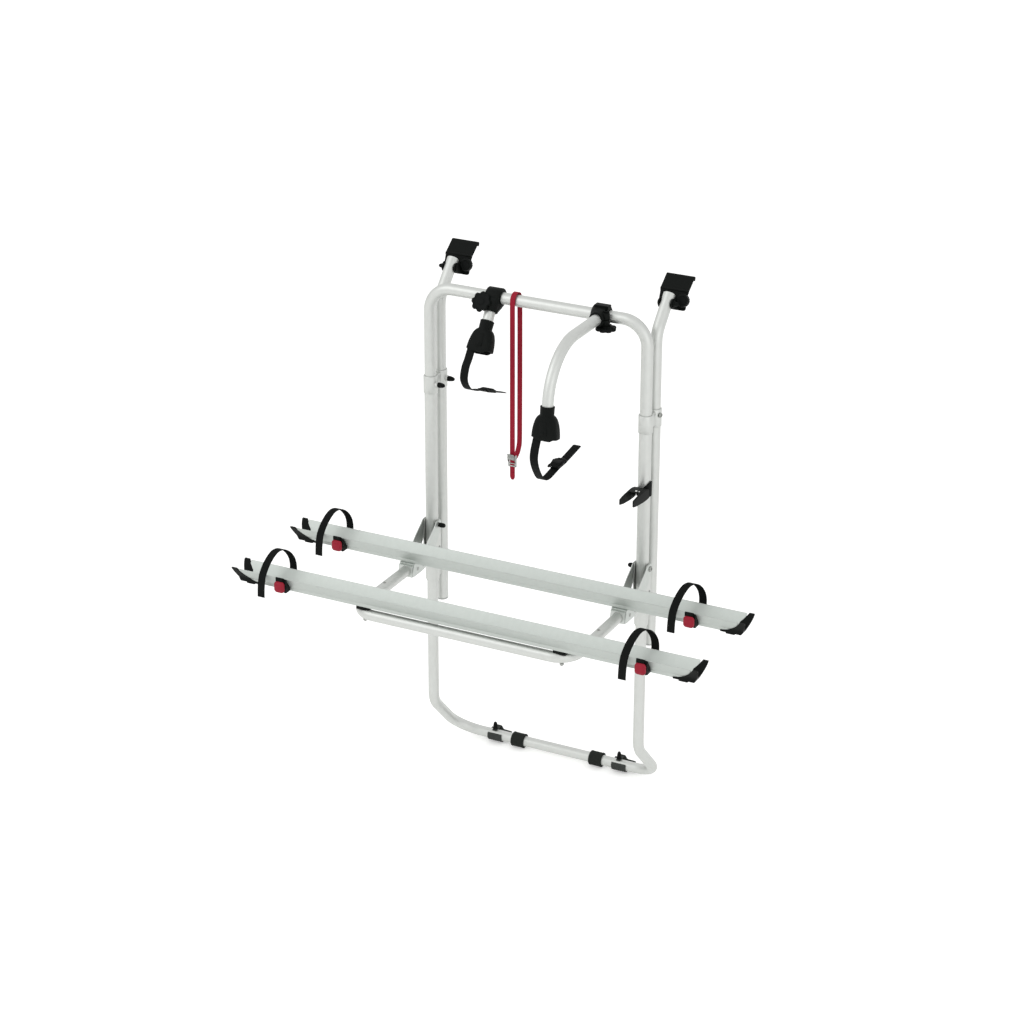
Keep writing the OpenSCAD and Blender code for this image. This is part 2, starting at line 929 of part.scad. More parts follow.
module platform_solid(r, extra) {
    half = post_x - platform_corner_r;
    translate([-half, -platform_reach, platform_z])
        rotate([0, 90, 0])
            rod(r, 2 * half);
    both_sides()
        translate([half, -platform_reach, platform_z])
            rotate([0, 90, 0])
                run(r, [[platform_corner_r, 90, 90],
                    [platform_reach - platform_corner_r - platform_back + extra]]);
}

module platform_tube() {
    color("gainsboro")
        translate([0, -post_out, 0])
            difference() {
                platform_solid(slide_r, 0);
                platform_solid(slide_r - slide_wall, over);
                for (side = [-1, 1], y = swing_bolts_y)
                    translate([side * post_x, y, platform_z])
                        bar_x(swing_bolt_r + pin_gap, slide_d + 2 * over);
                for (side = [-1, 1])
                    translate([side * front_bolt_x, -front_rail_out, platform_z - slide_d])
                        cylinder(r = stud_r + pin_gap, h = 2 * slide_d, $fn = small_fn);
            }
}

// Rails: a flared trough over a box base with a bolt slot
rail_lean = rail_wall * norm([rail_th - rail_bh, rail_h - rail_base_h])
    / (rail_h - rail_base_h);

module rail_outer(grow) {
    polygon([[-rail_bh - grow, -grow], [rail_bh + grow, -grow],
        [rail_bh + grow, rail_base_h], [rail_th + grow, rail_h],
        [-rail_th - grow, rail_h], [-rail_bh - grow, rail_base_h]]);
}

module rail_trough(shrink, rise) {
    flare = (rail_th - rail_bh) / (rail_h - rail_base_h);
    low = rail_bh - rail_lean - shrink;
    high = rail_th - rail_lean - shrink + over * flare;
    polygon([[-low, rail_base_h + rise], [low, rail_base_h + rise],
        [high, rail_h + over], [-high, rail_h + over]]);
}

module rail_section() {
    difference() {
        rail_outer(0);
        rail_trough(0, 0);
        translate([-rail_bh + rail_wall, rail_wall])
            square([rail_base_w - 2 * rail_wall, rail_base_h - 2 * rail_wall]);
        translate([-rail_slot_w / 2, -over])
            square([rail_slot_w, rail_wall + 2 * over]);
    }
}

module at_rail(out) {
    translate([0, -post_out - out, rail_z]) children();
}

module rail(out) {
    length = rail_l - 2 * rail_end_in;
    color("whitesmoke")
        at_rail(out)
            translate([-length / 2, 0, 0])
                plate_yz(length)
                    rail_section();
}

module front_rail() { rail(front_rail_out); }
module rear_rail() { rail(rear_rail_out); }

// Saddles between the front bar's corners and the front rail
front_bolt_x = 272;
saddle_l = 34;

module rail_saddles() {
    color("dimgray")
        for (side = [-1, 1])
            translate([side * front_bolt_x, -post_out - front_rail_out, platform_z])
                difference() {
                    translate([-saddle_l / 2, -rail_bh, slide_r - 2 * over])
                        cube([saddle_l, rail_base_w, saddle_h + 2 * over - seat_gap / 2]);
                    translate([-side * front_bolt_x, front_rail_out, -platform_z])
                        platform_solid(slide_r + seat_gap / 2, 0);
                    cylinder(r = stud_r + pin_gap, h = 2 * slide_d, $fn = small_fn);
                }
}

// Bolts that hold the rails: heads in the rail's slot, nuts under the tube or the web
nut_r = 6;
nut_h = 5;
slot_head_h = 3;
tip_l = 3;
rivet_h = 2;

module rail_bolt(out, x, grip) {
    translate([x, -post_out - out, rail_z + rail_wall + seat_gap / 2]) {
        cylinder(r = nut_r, h = slot_head_h, $fn = 6);
        translate([0, 0, -grip - nut_h - tip_l])
            cylinder(r = stud_r, h = grip + nut_h + tip_l, $fn = small_fn);
        translate([0, 0, -grip - nut_h])
            cylinder(r = nut_r, h = nut_h - seat_gap, $fn = 6);
    }
}

module rail_rivet(x) {
    translate([x, -post_out - rear_rail_out, rail_z - seat_gap - web_t]) {
        cylinder(r = swing_bolt_r - pin_gap, h = web_t + rail_wall + 2 * seat_gap,
            $fn = small_fn);
        translate([0, 0, web_t + rail_wall + 2 * seat_gap])
            cylinder(r = nut_r, h = rivet_h, $fn = small_fn);
    }
}

module rail_bolts() {
    color("gray")
        for (side = [-1, 1]) {
            rail_bolt(front_rail_out, side * front_bolt_x, saddle_h + slide_d + 2 * rail_wall);
            rail_rivet(side * post_x);
        }
}

// End caps: a lining, an end edge and wings that wrap the rail's outside
cap_low_share = 2.4;
cap_high_share = 1.3;

module cap_side_view() {
    polygon([[-cap_lip_l, rail_h + over], [0, rail_h + over],
        [-cap_edge_in, rail_base_h + 2 * cap_t], [-cap_foot_in, -cap_t - over],
        [-cap_tail_l, -cap_t - over], [-cap_tail_l, 0],
        [-cap_low_share * cap_lip_l, rail_base_h], [-cap_high_share * cap_lip_l, rail_h / 2]]);
}

module cap_band() {
    difference() {
        rail_outer(cap_t);
        rail_trough(cap_t, cap_t);
    }
}

module end_cap(out, side) {
    at_rail(out)
        on_side(side)
            translate([rail_end_x, 0, 0])
                difference() {
                    intersection() {
                        translate([-cap_tail_l, 0, 0])
                            plate_yz(cap_tail_l)
                                cap_band();
                        translate([0, rail_top_w, 0])
                            rotate([90, 0, 0])
                                linear_extrude(height = 2 * rail_top_w)
                                    cap_side_view();
                    }
                    translate([-cap_tail_l - over, 0, 0])
                        plate_yz(cap_tail_l + over - rail_end_in + cap_gap)
                            cap_rail_room();
                }
}

// Room for the rail inside a cap
module cap_rail_room() {
    difference() {
        rail_outer(cap_gap);
        rail_trough(cap_gap, cap_gap);
    }
}

module rail_end_caps() {
    color("dimgray")
        for (out = [front_rail_out, rear_rail_out], side = [-1, 1])
            end_cap(out, side);
}

// Wheel straps: each arches over its rail, leaning to the left, and hangs free in front
function strap_line() = concat(
    [[strap_rear, seat_gap]],
    [for (a = [10:10:170]) [(strap_rear - strap_front) / 2
        + (strap_rear + strap_front) / 2 * cos(a), strap_rise * sin(a)]],
    [[-strap_front, 0], [-strap_front, -strap_tail]]);

module wheel_strap(out, x) {
    at_rail(out)
        translate([x, 0, rail_h])
            rotate([0, 0, -strap_lean])
                band(strap_line(), strap_w, strap_t);
}

module rail_straps() {
    color("dimgray")
        for (out = [front_rail_out, rear_rail_out], x = [-strap_x, strap_x])
            wheel_strap(out, x - strap_shift);
}

// Buckles on the rails' front walls, with a pocket for the red button
buckle_lip = 3;
buckle_swell = 2;
buckle_foot_h = 8;
buckle_foot_in = 6;

module buckle_outline() {
    wall_top = -rail_th - seat_gap;
    polygon([[-rail_bh - seat_gap, 0], [-rail_bh - seat_gap, rail_base_h],
        [wall_top, rail_h], [wall_top, rail_h + buckle_lip],
        [-buckle_front, rail_h + buckle_lip],
        [-buckle_front - buckle_swell, rail_h - 2 * buckle_swell],
        [-buckle_front, buckle_foot_h], [buckle_foot_in - buckle_front, 0]]);
}

button_x = -6;
button_z = 16;

module rail_buckle(out, x) {
    at_rail(out)
        translate([x, 0, 0])
            difference() {
                translate([-buckle_w / 2, 0, 0])
                    plate_yz(buckle_w)
                        buckle_outline();
                translate([button_x - button_w / 2, -buckle_front - buckle_lip,
                    button_z - button_h / 2])
                    cube([button_w, 2 * button_depth, button_h]);
            }
}

module rail_buckles() {
    color("dimgray")
        for (out = [front_rail_out, rear_rail_out], x = [-buckle_x, buckle_x])
            rail_buckle(out, x);
}

module button(out, x) {
    color("crimson")
        at_rail(out)
            translate([x + button_x - button_w / 2 + seat_gap,
                -buckle_front - button_proud, button_z - button_h / 2 + seat_gap])
                cube([button_w - 2 * seat_gap, button_depth, button_h - 2 * seat_gap]);
}

module front_left_button() { button(front_rail_out, -buckle_x); }
module front_right_button() { button(front_rail_out, buckle_x); }
module rear_left_button() { button(rear_rail_out, -buckle_x); }
module rear_right_button() { button(rear_rail_out, buckle_x); }

// Arm frames: z along the arm's tube, y towards its star knob, x along the top bar
module at_left_arm() {
    translate([left_arm_x, -post_out, top_bar_z])
        rotate([180 - left_arm_angle, 0, 0])
            children();
}

module at_right_arm() {
    translate([right_arm_x, -post_out, top_bar_z])
        rotate([90, 0, 0])
            rotate([0, 0, 180])
                children();
}

// Split bush that slides along the top bar inside an arm's clamp
module arm_bush() {
    color("gray")
        difference() {
            union() {
                translate([clamp_low - bush_flange - seat_gap, 0, 0])
                    rotate([0, 90, 0])
                        cylinder(r = bush_r,
                            h = clamp_high - clamp_low + 2 * (bush_flange + seat_gap),
                            $fn = round_fn);
                for (x = [clamp_low - bush_flange - seat_gap, clamp_high + seat_gap])
                    translate([x, 0, 0])
                        rotate([0, 90, 0])
                            cylinder(r = bush_r + bush_flange, h = bush_flange,
                                $fn = round_fn);
            }
            bar_x(upper_r + bush_gap, 2 * clamp_high + 10 * bush_flange);
            translate([-clamp_high - 5 * bush_flange, -over, -clamp_r])
                cube([2 * clamp_high + 10 * bush_flange, 2 * over, clamp_r]);
        }
}

module left_arm_bush() { at_left_arm() arm_bush(); }
module right_arm_bush() { at_right_arm() arm_bush(); }

// Clamp: a split ring on the bush, a socket for the arm tube and a lug for the bolt
module clamp_body() {
    color("dimgray")
        difference() {
            union() {
                translate([clamp_low, 0, 0])
                    rotate([0, 90, 0])
                        cylinder(r = clamp_r, h = clamp_high - clamp_low, $fn = round_fn);
                cylinder(r = socket_r, h = socket_end, $fn = round_fn);
                translate([bolt_x, -lug_low, bolt_t])
                    rotate([-90, 0, 0])
                        cylinder(r = lug_r, h = lug_low + star_base - seat_gap,
                            $fn = small_fn);
                translate([bolt_x, -lug_low, bolt_t - lug_r])
                    cube([-bolt_x, 2 * lug_low, 2 * lug_r]);
            }
            bar_x(bush_r + pin_gap, 3 * clamp_high);
            translate([clamp_low - 2 * lug_r, 0, 0])
                rotate([0, 90, 0])
                    cylinder(r = bush_r + 2 * bush_flange, h = 2 * lug_r, $fn = round_fn);
            translate([bolt_x, star_base - seat_gap, bolt_t])
                rotate([-90, 0, 0])
                    cylinder(r = star_d / 2 + 2 * over, h = star_h, $fn = round_fn);
            translate([0, 0, socket_start])
                cylinder(r = arm_r + pin_gap, h = socket_end, $fn = round_fn);
            translate([bolt_x, -2 * lug_low, bolt_t])
                rotate([-90, 0, 0])
                    cylinder(r = bolt_r + pin_gap, h = 4 * lug_low, $fn = small_fn);
            translate([2 * bolt_x, -clamp_split / 2, 0])
                cube([-2 * bolt_x + clamp_high + over, clamp_split, socket_end + over]);
        }
}

module left_arm_clamp() { at_left_arm() clamp_body(); }
module right_arm_clamp() { at_right_arm() clamp_body(); }

// Star knob: a lobed head on a bolt that draws the clamp's halves together
module star_knob() {
    core_r = star_d / 2 - star_lobe_r;
    color("dimgray")
        translate([bolt_x, star_base, bolt_t])
            rotate([-90, 0, 0]) {
                difference() {
                    union() {
                        cylinder(r = core_r, h = star_h, $fn = round_fn);
                        for (i = [0:star_lobes - 1])
                            rotate([0, 0, i * 360 / star_lobes])
                                translate([core_r, 0, 0])
                                    cylinder(r = star_lobe_r, h = star_h, $fn = small_fn);
                    }
                    translate([0, 0, star_h - 2 * over])
                        cylinder(r = core_r / 2, h = 3 * over, $fn = small_fn);
                }
                translate([0, 0, -star_base - lug_low - seat_gap - nut_h])
                    cylinder(r = bolt_r, h = star_base + lug_low + nut_h + over,
                        $fn = small_fn);
                translate([0, 0, -star_base - lug_low - seat_gap - nut_h])
                    cylinder(r = nut_r, h = nut_h, $fn = 6);
            }
}

module left_star_knob() { at_left_arm() star_knob(); }
module right_star_knob() { at_right_arm() star_knob(); }

// Arm tubes
module left_arm_tube() {
    color("gainsboro")
        at_left_arm()
            translate([0, 0, socket_start + seat_gap])
                difference() {
                    rod(arm_r, left_arm_l - socket_start - over);
                    translate([0, 0, -over])
                        rod(arm_r - arm_wall, left_arm_l);
                }
}

module right_arm_solid(r, extra) {
    translate([0, 0, socket_start + seat_gap - extra])
        run(r, [[right_arm_l - socket_start + extra],
            [right_arm_bend_r, right_arm_bend, 90], [neck_l - over + extra]]);
}

module right_arm_tube() {
    color("gainsboro")
        at_right_arm()
            difference() {
                right_arm_solid(arm_r, 0);
                right_arm_solid(arm_r - arm_wall, over);
            }
}

// Arm heads, drawn from the neck's mouth along +Z, with their width along X
module rounded_slab(w, d, h) {
    hull()
        for (x = [-1, 1], y = [-1, 1])
            translate([x * (w / 2 - hood_round), y * (d / 2 - hood_round), 0])
                cylinder(r = hood_round, h = h, $fn = hull_fn);
}

module hood_solid(inset) {
    hull() {
        translate([0, 0, neck_l + inset])
            cylinder(r = neck_r - over - inset, h = over, $fn = hull_fn);
        translate([0, 0, neck_l + hood_l / 2])
            rounded_slab(hood_mid_w - 2 * inset, hood_mid_depth - 2 * inset, over);
    }
    hull() {
        translate([0, 0, neck_l + hood_l / 2])
            rounded_slab(hood_mid_w - 2 * inset, hood_mid_depth - 2 * inset, over);
        translate([0, 0, neck_l + hood_l - over])
            rounded_slab(hood_w - 2 * inset, hood_depth - 2 * inset, over + inset);
    }
}

module arm_head() {
    color("dimgray")
        difference() {
            union() {
                cylinder(r = neck_r, h = neck_l, $fn = round_fn);
                hood_solid(0);
                translate([0, 0, neck_l + hood_l / 2])
                    rounded_slab(pad_w, pad_depth, hood_l / 2 + pad_drop);
            }
            translate([0, 0, -over])
                cylinder(r = arm_r + pin_gap, h = neck_l + over, $fn = round_fn);
        }
}

module at_left_head() {
    at_left_arm()
        translate([0, 0, left_arm_l - neck_l])
            children();
}

module at_right_head() {
    at_right_arm()
        translate([0, 0, right_arm_l + seat_gap])
            rotate([0, 0, 90])
                translate([right_arm_bend_r * (1 - cos(right_arm_bend)), 0,
                    right_arm_bend_r * sin(right_arm_bend)])
                    rotate([0, right_arm_bend, 0])
                        rotate([0, 0, -90])
                            children();
}

module left_arm_head() { at_left_head() arm_head(); }
module right_arm_head() { at_right_head() arm_head(); }

// Ratchet straps of the arm heads: a band through the hood, its loop and its buckle
arm_strap_w = 18;
arm_strap_t = 1.8;
arm_buckle_l = 84;
arm_buckle_w = 24;
arm_buckle_h = 6;
// Reach of an arm strap's loop; its line and buckle are shares of this from the hem
arm_strap_reach = 100;
left_strap_shares = [[-0.0525, 0.0294], [-0.236, -0.167], [-0.386, -0.337],
    [-0.466, -0.627], [-0.286, -0.907], [-0.006, -1.057], [0.324, -1.167],
    [0.754, -1.347], [1.754, -1.727]];
left_buckle_share = [0.764, -1.347];
left_buckle_lean = -21;
right_strap_shares = [[-0.0195, -0.0026], [-0.21, -0.471], [0.07, -0.961],
    [0.4, -1.141], [1.02, -1.091], [1.48, -1.071], [2.15, -1.011]];
right_buckle_share = [1.05, -1.091];
right_buckle_lean = 2;
// Middle of each head's hem, as (y, z) from the front post's axis
left_hem = [-(left_arm_l + hood_l) * sin(left_arm_angle),
    top_bar_z - (left_arm_l + hood_l) * cos(left_arm_angle)];
right_hem = [-right_arm_l - seat_gap - right_arm_bend_r * sin(right_arm_bend)
    - (neck_l + hood_l) * cos(right_arm_bend),
    top_bar_z - right_arm_bend_r * (1 - cos(right_arm_bend))
    - (neck_l + hood_l) * sin(right_arm_bend)];
function from_hem(hem, shares) = [for (s = shares) hem + s * arm_strap_reach];

module strap_with_buckle(points, at, angle) {
    color("dimgray") {
        band(smooth(points, 4), arm_strap_w, arm_strap_t);
        translate([0, at[0], at[1]])
            rotate([angle, 0, 0])
                difference() {
                    translate([-arm_buckle_w / 2, -arm_buckle_l / 2,
                        arm_strap_t / 2 - arm_strap_t])
                        cube([arm_buckle_w, arm_buckle_l, arm_buckle_h]);
                    translate([-arm_strap_w / 2 + 2 * over, -arm_buckle_l / 4, arm_strap_t])
                        cube([arm_strap_w - 4 * over, arm_buckle_l / 2, arm_buckle_h]);
                }
    }
}

module left_arm_strap() {
    translate([left_arm_x + bolt_x, -post_out, 0])
        strap_with_buckle(from_hem(left_hem, left_strap_shares),
            left_hem + left_buckle_share * arm_strap_reach, left_buckle_lean);
}

module right_arm_strap() {
    translate([right_arm_x + bolt_x, -post_out, 0])
        strap_with_buckle(from_hem(right_hem, right_strap_shares),
            right_hem + right_buckle_share * arm_strap_reach, right_buckle_lean);
}

// Safety strap: a loop of webbing over the top bar, closed by a cam buckle
safety_r = upper_r + seat_gap + safety_t / 2;
// Heights below the top bar at which the strap closes, turns and ends
safety_low = 416.4;
safety_turn = 373.4;
safety_tail = 474.4;
// The rear run's turn to the buckle, as shares of the strap's radius
safety_turn_shares = [[0.88, 1.1], [0.52, 2.1]];

function safety_line() = concat(
    [[-safety_r, -safety_tail], [-safety_r, 0]],
    [for (a = [170:-10:10]) [safety_r * cos(a), safety_r * sin(a)]],
    [[safety_r, 0], [safety_r, -safety_turn]],
    [for (s = safety_turn_shares) [s[0] * safety_r, -safety_turn - s[1] * safety_r]],
    [[0, -safety_low - 2 * safety_t], [2 * safety_t - safety_r, -safety_low - 6 * safety_t]]);

module safety_strap() {
    color("firebrick")
        translate([safety_x, -post_out, top_bar_z])
            band(safety_line(), safety_w, safety_t);
}

cam_w = 22;
cam_h = 32;
cam_d = 8;
cam_up = 10;

module safety_buckle() {
    color("lightgray")
        translate([safety_x, -post_out - safety_r - safety_t / 2 - seat_gap,
            top_bar_z - safety_low - cam_h + cam_up])
            difference() {
                translate([-cam_w / 2, -cam_d / 2, 0])
                    cube([cam_w, cam_d / 2, cam_h]);
                translate([-safety_w / 2, -cam_d, cam_h / 4])
                    cube([safety_w, cam_d, cam_h / 4]);
            }
}

// Fold clip on the right post: a split ring and a fork that holds the folded arm
module clip_outline() {
    difference() {
        union() {
            circle(r = post_r + seat_gap / 3 + clip_wall, $fn = round_fn);
            translate([-clip_prong_x - clip_wall, -clip_reach])
                square([2 * (clip_prong_x + clip_wall), clip_reach]);
        }
        circle(r = post_r + seat_gap / 3, $fn = round_fn);
        translate([-clip_prong_x, -clip_reach - over])
            square([2 * clip_prong_x, clip_reach - post_r - clip_wall]);
        translate([-post_d, clip_open])
            square([2 * post_d, post_d]);
    }
}

module fold_clip() {
    color("dimgray")
        at_post(1)
            difference() {
                translate([0, 0, clip_z])
                    linear_extrude(height = clip_h)
                        clip_outline();
                translate([-post_d, -clip_reach - over, clip_z + clip_h])
                    rotate([-clip_lean, 0, 0])
                        cube([2 * post_d, clip_reach, clip_h]);
                for (y = [-clip_hole_out, clip_hole_step - clip_hole_out])
                    translate([0, y, clip_z + clip_h / 2])
                        bar_x(clip_hole_r, 2 * post_d);
            }
}

left_front_tube();
right_front_tube();
left_rear_tube();
right_rear_tube();
rear_tube_plugs();
left_collar();
right_collar();
left_front_knob();
left_rear_knob();
right_collar_bolts();
upper_frame();
lower_frame();
left_roof_tube();
right_roof_tube();
left_roof_bracket();
right_roof_bracket();
left_roof_knob();
right_roof_knob();
left_tilt_knob();
right_tilt_knob();
left_post_bracket();
right_post_bracket();
pivot_bolts();
left_pivot_knob();
right_pivot_knob();
left_swing_bracket();
right_swing_bracket();
platform_tube();
swing_bolts();
front_rail();
rear_rail();
rail_saddles();
rail_bolts();
rail_end_caps();
rail_straps();
rail_buckles();
front_left_button();
front_right_button();
rear_left_button();
rear_right_button();
left_arm_bush();
right_arm_bush();
left_arm_clamp();
right_arm_clamp();
left_star_knob();
right_star_knob();
left_arm_tube();
right_arm_tube();
left_arm_head();
right_arm_head();
left_arm_strap();
right_arm_strap();
safety_strap();
safety_buckle();
fold_clip();
bar_sleeves();
left_lower_hook();
right_lower_hook();
left_lower_knob();
right_lower_knob();
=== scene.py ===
import json
import math

import bmesh
import bpy
from mathutils import Matrix, Vector


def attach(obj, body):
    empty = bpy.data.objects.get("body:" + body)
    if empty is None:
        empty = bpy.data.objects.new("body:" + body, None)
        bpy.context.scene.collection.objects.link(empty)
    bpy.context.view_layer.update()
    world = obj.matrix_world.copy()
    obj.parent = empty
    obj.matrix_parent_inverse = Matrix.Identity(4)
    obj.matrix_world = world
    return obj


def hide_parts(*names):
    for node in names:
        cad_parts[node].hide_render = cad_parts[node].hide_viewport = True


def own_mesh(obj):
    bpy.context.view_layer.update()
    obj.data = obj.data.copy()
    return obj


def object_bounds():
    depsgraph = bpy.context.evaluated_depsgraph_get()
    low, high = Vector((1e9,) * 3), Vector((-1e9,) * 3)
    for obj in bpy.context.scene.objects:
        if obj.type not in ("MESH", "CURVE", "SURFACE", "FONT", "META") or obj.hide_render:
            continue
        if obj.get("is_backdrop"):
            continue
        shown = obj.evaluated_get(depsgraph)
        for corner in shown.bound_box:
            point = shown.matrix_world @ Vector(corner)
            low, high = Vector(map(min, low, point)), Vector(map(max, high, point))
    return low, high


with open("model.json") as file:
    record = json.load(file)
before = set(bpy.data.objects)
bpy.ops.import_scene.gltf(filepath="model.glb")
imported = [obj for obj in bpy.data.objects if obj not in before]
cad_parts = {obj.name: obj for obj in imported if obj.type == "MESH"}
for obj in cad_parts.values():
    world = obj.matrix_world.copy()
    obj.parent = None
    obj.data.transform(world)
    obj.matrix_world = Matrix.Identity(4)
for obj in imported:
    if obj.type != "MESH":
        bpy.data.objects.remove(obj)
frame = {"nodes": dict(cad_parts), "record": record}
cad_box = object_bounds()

MM = 0.001


# Finishes

def linear(hex_colour):
    """An sRGB hex colour as the linear colour that a shader takes."""
    steps = [int(hex_colour[i:i + 2], 16) / 255 for i in (0, 2, 4)]
    return [s / 12.92 if s <= 0.04045 else ((s + 0.055) / 1.055) ** 2.4 for s in steps] + [1.0]


def add(tree, kind, inputs=None, **settings):
    """Adds a node with its settings, and links or sets its inputs."""
    made = tree.nodes.new(kind)
    for key, value in settings.items():
        setattr(made, key, value)
    for key, value in (inputs or {}).items():
        if isinstance(value, bpy.types.NodeSocket):
            tree.links.new(value, made.inputs[key])
        else:
            made.inputs[key].default_value = value
    return made


def finish_of(name, build):
    """A named finish; build adds its patterns and returns the shader's inputs."""
    material = bpy.data.materials.new(name)
    material.use_nodes = True
    tree = material.node_tree
    tree.nodes.clear()
    shader = add(tree, "ShaderNodeBsdfPrincipled", build(tree))
    add(tree, "ShaderNodeOutputMaterial", {"Surface": shader.outputs["BSDF"]})
    return material


def per_metre(spacings_mm):
    """Pattern scale per metre for features that far apart along X, Y and Z."""
    return [1000 / s for s in spacings_mm]


def toned(tree, share, tones):
    """A colour between two tones."""
    mix = add(tree, "ShaderNodeMix", {0: share, 6: linear(tones[0]), 7: linear(tones[1])},
              data_type="RGBA")
    return mix.outputs[2]


def relief(tree, height, depth_mm):
    """A shading normal that follows a pattern of that depth."""
    bump = add(tree, "ShaderNodeBump", {"Height": height, "Distance": depth_mm * MM})
    return bump.outputs[0]


def grained(tones, roughness, grain, depth_mm, clouds, detail, spread, rest):
    """Two tones in soft clouds under a fine grain, both with their spacings in millimetres;
    spread is how far the grain takes the roughness down and up."""
    def build(tree):
        spot = add(tree, "ShaderNodeTexCoord").outputs["Object"]
        fine = add(tree, "ShaderNodeMapping", {"Vector": spot, "Scale": per_metre(grain)})
        noise = add(tree, "ShaderNodeTexNoise", {"Vector": fine.outputs[0], "Detail": detail})
        wide = add(tree, "ShaderNodeMapping", {"Vector": spot, "Scale": per_metre(clouds)})
        cloud = add(tree, "ShaderNodeTexNoise", {"Vector": wide.outputs[0]})
        rough = add(tree, "ShaderNodeMapRange", {"Value": noise.outputs["Fac"],
                                                 "To Min": roughness - spread[0],
                                                 "To Max": roughness + spread[1]})
        return {"Base Color": toned(tree, cloud.outputs["Fac"], tones),
                "Roughness": rough.outputs[0],
                "Normal": relief(tree, noise.outputs["Fac"], depth_mm), **rest}
    return build


def anodised(tones, roughness, grain=(0.9, 0.9, 40.0)):
    """Extruded aluminium, etched matt and anodised clear: a soft satin sheen, with faint
    draw lines along the length that stretch each highlight. They lie about 0.1 mm apart
    on a real tube, and are drawn coarser here to show at all."""
    return grained(tones, roughness, grain, 0.0015, (60, 60, 90), 3.0, (0.04, 0.04),
                   {"Metallic": 1.0})


def cast(tones, roughness, grain_mm=1.2, depth_mm=0.05):
    """Die-cast metal, tumbled: a fine pebbled skin that breaks up its highlights."""
    return grained(tones, roughness, [grain_mm] * 3, depth_mm, [18] * 3, 4.0, (0.06, 0.08),
                   {"Metallic": 1.0})


def moulded(tones, roughness, grain_mm=0.9, depth_mm=0.03, gloss=0.07):
    """Moulded plastic or rubber with a spark-eroded grain: dull, with broad highlights
    that pick out its rounded edges."""
    return grained(tones, roughness, [grain_mm] * 3, depth_mm, [25] * 3, 3.0, (0.05, 0.07),
                   {"Specular IOR Level": gloss})


def webbing(tones, thread_mm):
    """Woven polyester webbing: small crossing ribs, matt with a slight sheen."""
    def build(tree):
        spot = add(tree, "ShaderNodeTexCoord").outputs["Object"]
        fine = add(tree, "ShaderNodeMapping", {"Vector": spot,
                                               "Scale": per_metre([thread_mm] * 3)})
        # A wave repeats 20 / (2 pi) times per unit at scale 1, so 2 pi / 20 makes one.
        wave = {"Vector": fine.outputs[0], "Scale": 2 * math.pi / 20, "Distortion": 0.4}
        weft = add(tree, "ShaderNodeTexWave", wave, bands_direction="Z").outputs["Fac"]
        warp = add(tree, "ShaderNodeTexWave", wave, bands_direction="X").outputs["Fac"]
        weave = add(tree, "ShaderNodeMath", {0: weft, 1: warp}, operation="MULTIPLY").outputs[0]
        return {"Base Color": toned(tree, weave, tones), "Roughness": 0.78,
                "Specular IOR Level": 0.2, "Normal": relief(tree, weave, 0.25)}
    return build


TUBE = finish_of("satin_anodised_tube", anodised(("c7c9c6", "cfd1ce"), 0.52))
RAIL = finish_of("extruded_rail", anodised(("b9beba", "c0c5c1"), 0.58, (40.0, 0.9, 0.9)))
CAST = finish_of("tumbled_casting", cast(("c0c4c1", "cacecb"), 0.5))
PLATE = finish_of("pressed_plate", anodised(("bfc3c0", "c8ccc8"), 0.5, (0.9, 0.9, 12.0)))
ZINC = finish_of("zinc_plated_steel", cast(("8f918e", "a5a7a3"), 0.34, 0.8, 0.02))
BLACK = finish_of("black_abs", moulded(("0e100f", "141715"), 0.5))
KNOB = finish_of("black_nylon", moulded(("0b0d0c", "111413"), 0.45, 0.7, 0.02))
GREY = finish_of("dark_grey_nylon", moulded(("404341", "494c4a"), 0.55))
PLUG = finish_of("light_grey_plastic", moulded(("b4b7b4", "bcbfbc"), 0.5))
RUBBER = finish_of("matt_rubber", moulded(("222523", "2a2d2b"), 0.75, 1.4, 0.05, 0.1))
STRAP = finish_of("black_polyurethane", moulded(("0d0f0e", "131514"), 0.55, 0.6))
RED = finish_of("red_acetal", moulded(("8e1528", "a11d33"), 0.36, 0.6, 0.01, 0.2))
WEB = finish_of("red_webbing", webbing(("931a2c", "b4243c"), 1.1))
THREAD = finish_of("dark_red_thread", moulded(("7c1424", "8a1a2c"), 0.7, 0.5, 0.02))

FINISH_OF_SLOT = {
    "satin_aluminium": TUBE, "cast_aluminium": CAST, "rail_aluminium": RAIL,
    "zinc_steel": ZINC, "black_plastic": BLACK, "dark_grey_plastic": GREY,
    "grey_rubber": RUBBER, "red_plastic": RED, "red_webbing": WEB, "strap_plastic": STRAP}

for part in frame["record"]["subparts"]:
    solid = frame["nodes"][part["node"]]
    for index in range(len(solid.material_slots)):
        solid.material_slots[index].material = FINISH_OF_SLOT[part["material_slot"]]

# Making a piece

class Form:
    """The vertices and faces of one piece, in millimetres."""

    def __init__(self):
        self.verts, self.faces = [], []

    def __iter__(self):
        """Lets a whole form be put into another one."""
        return iter((self.verts, self.faces))

    def put(self, shape, at=None):
        """Adds a shape, as its vertices and faces, at a place."""
        verts, faces = shape
        start = len(self.verts)
        self.verts += [at @ Vector(v) if at else Vector(v) for v in verts]
        self.faces += [[start + i for i in face] for face in faces]
        return self


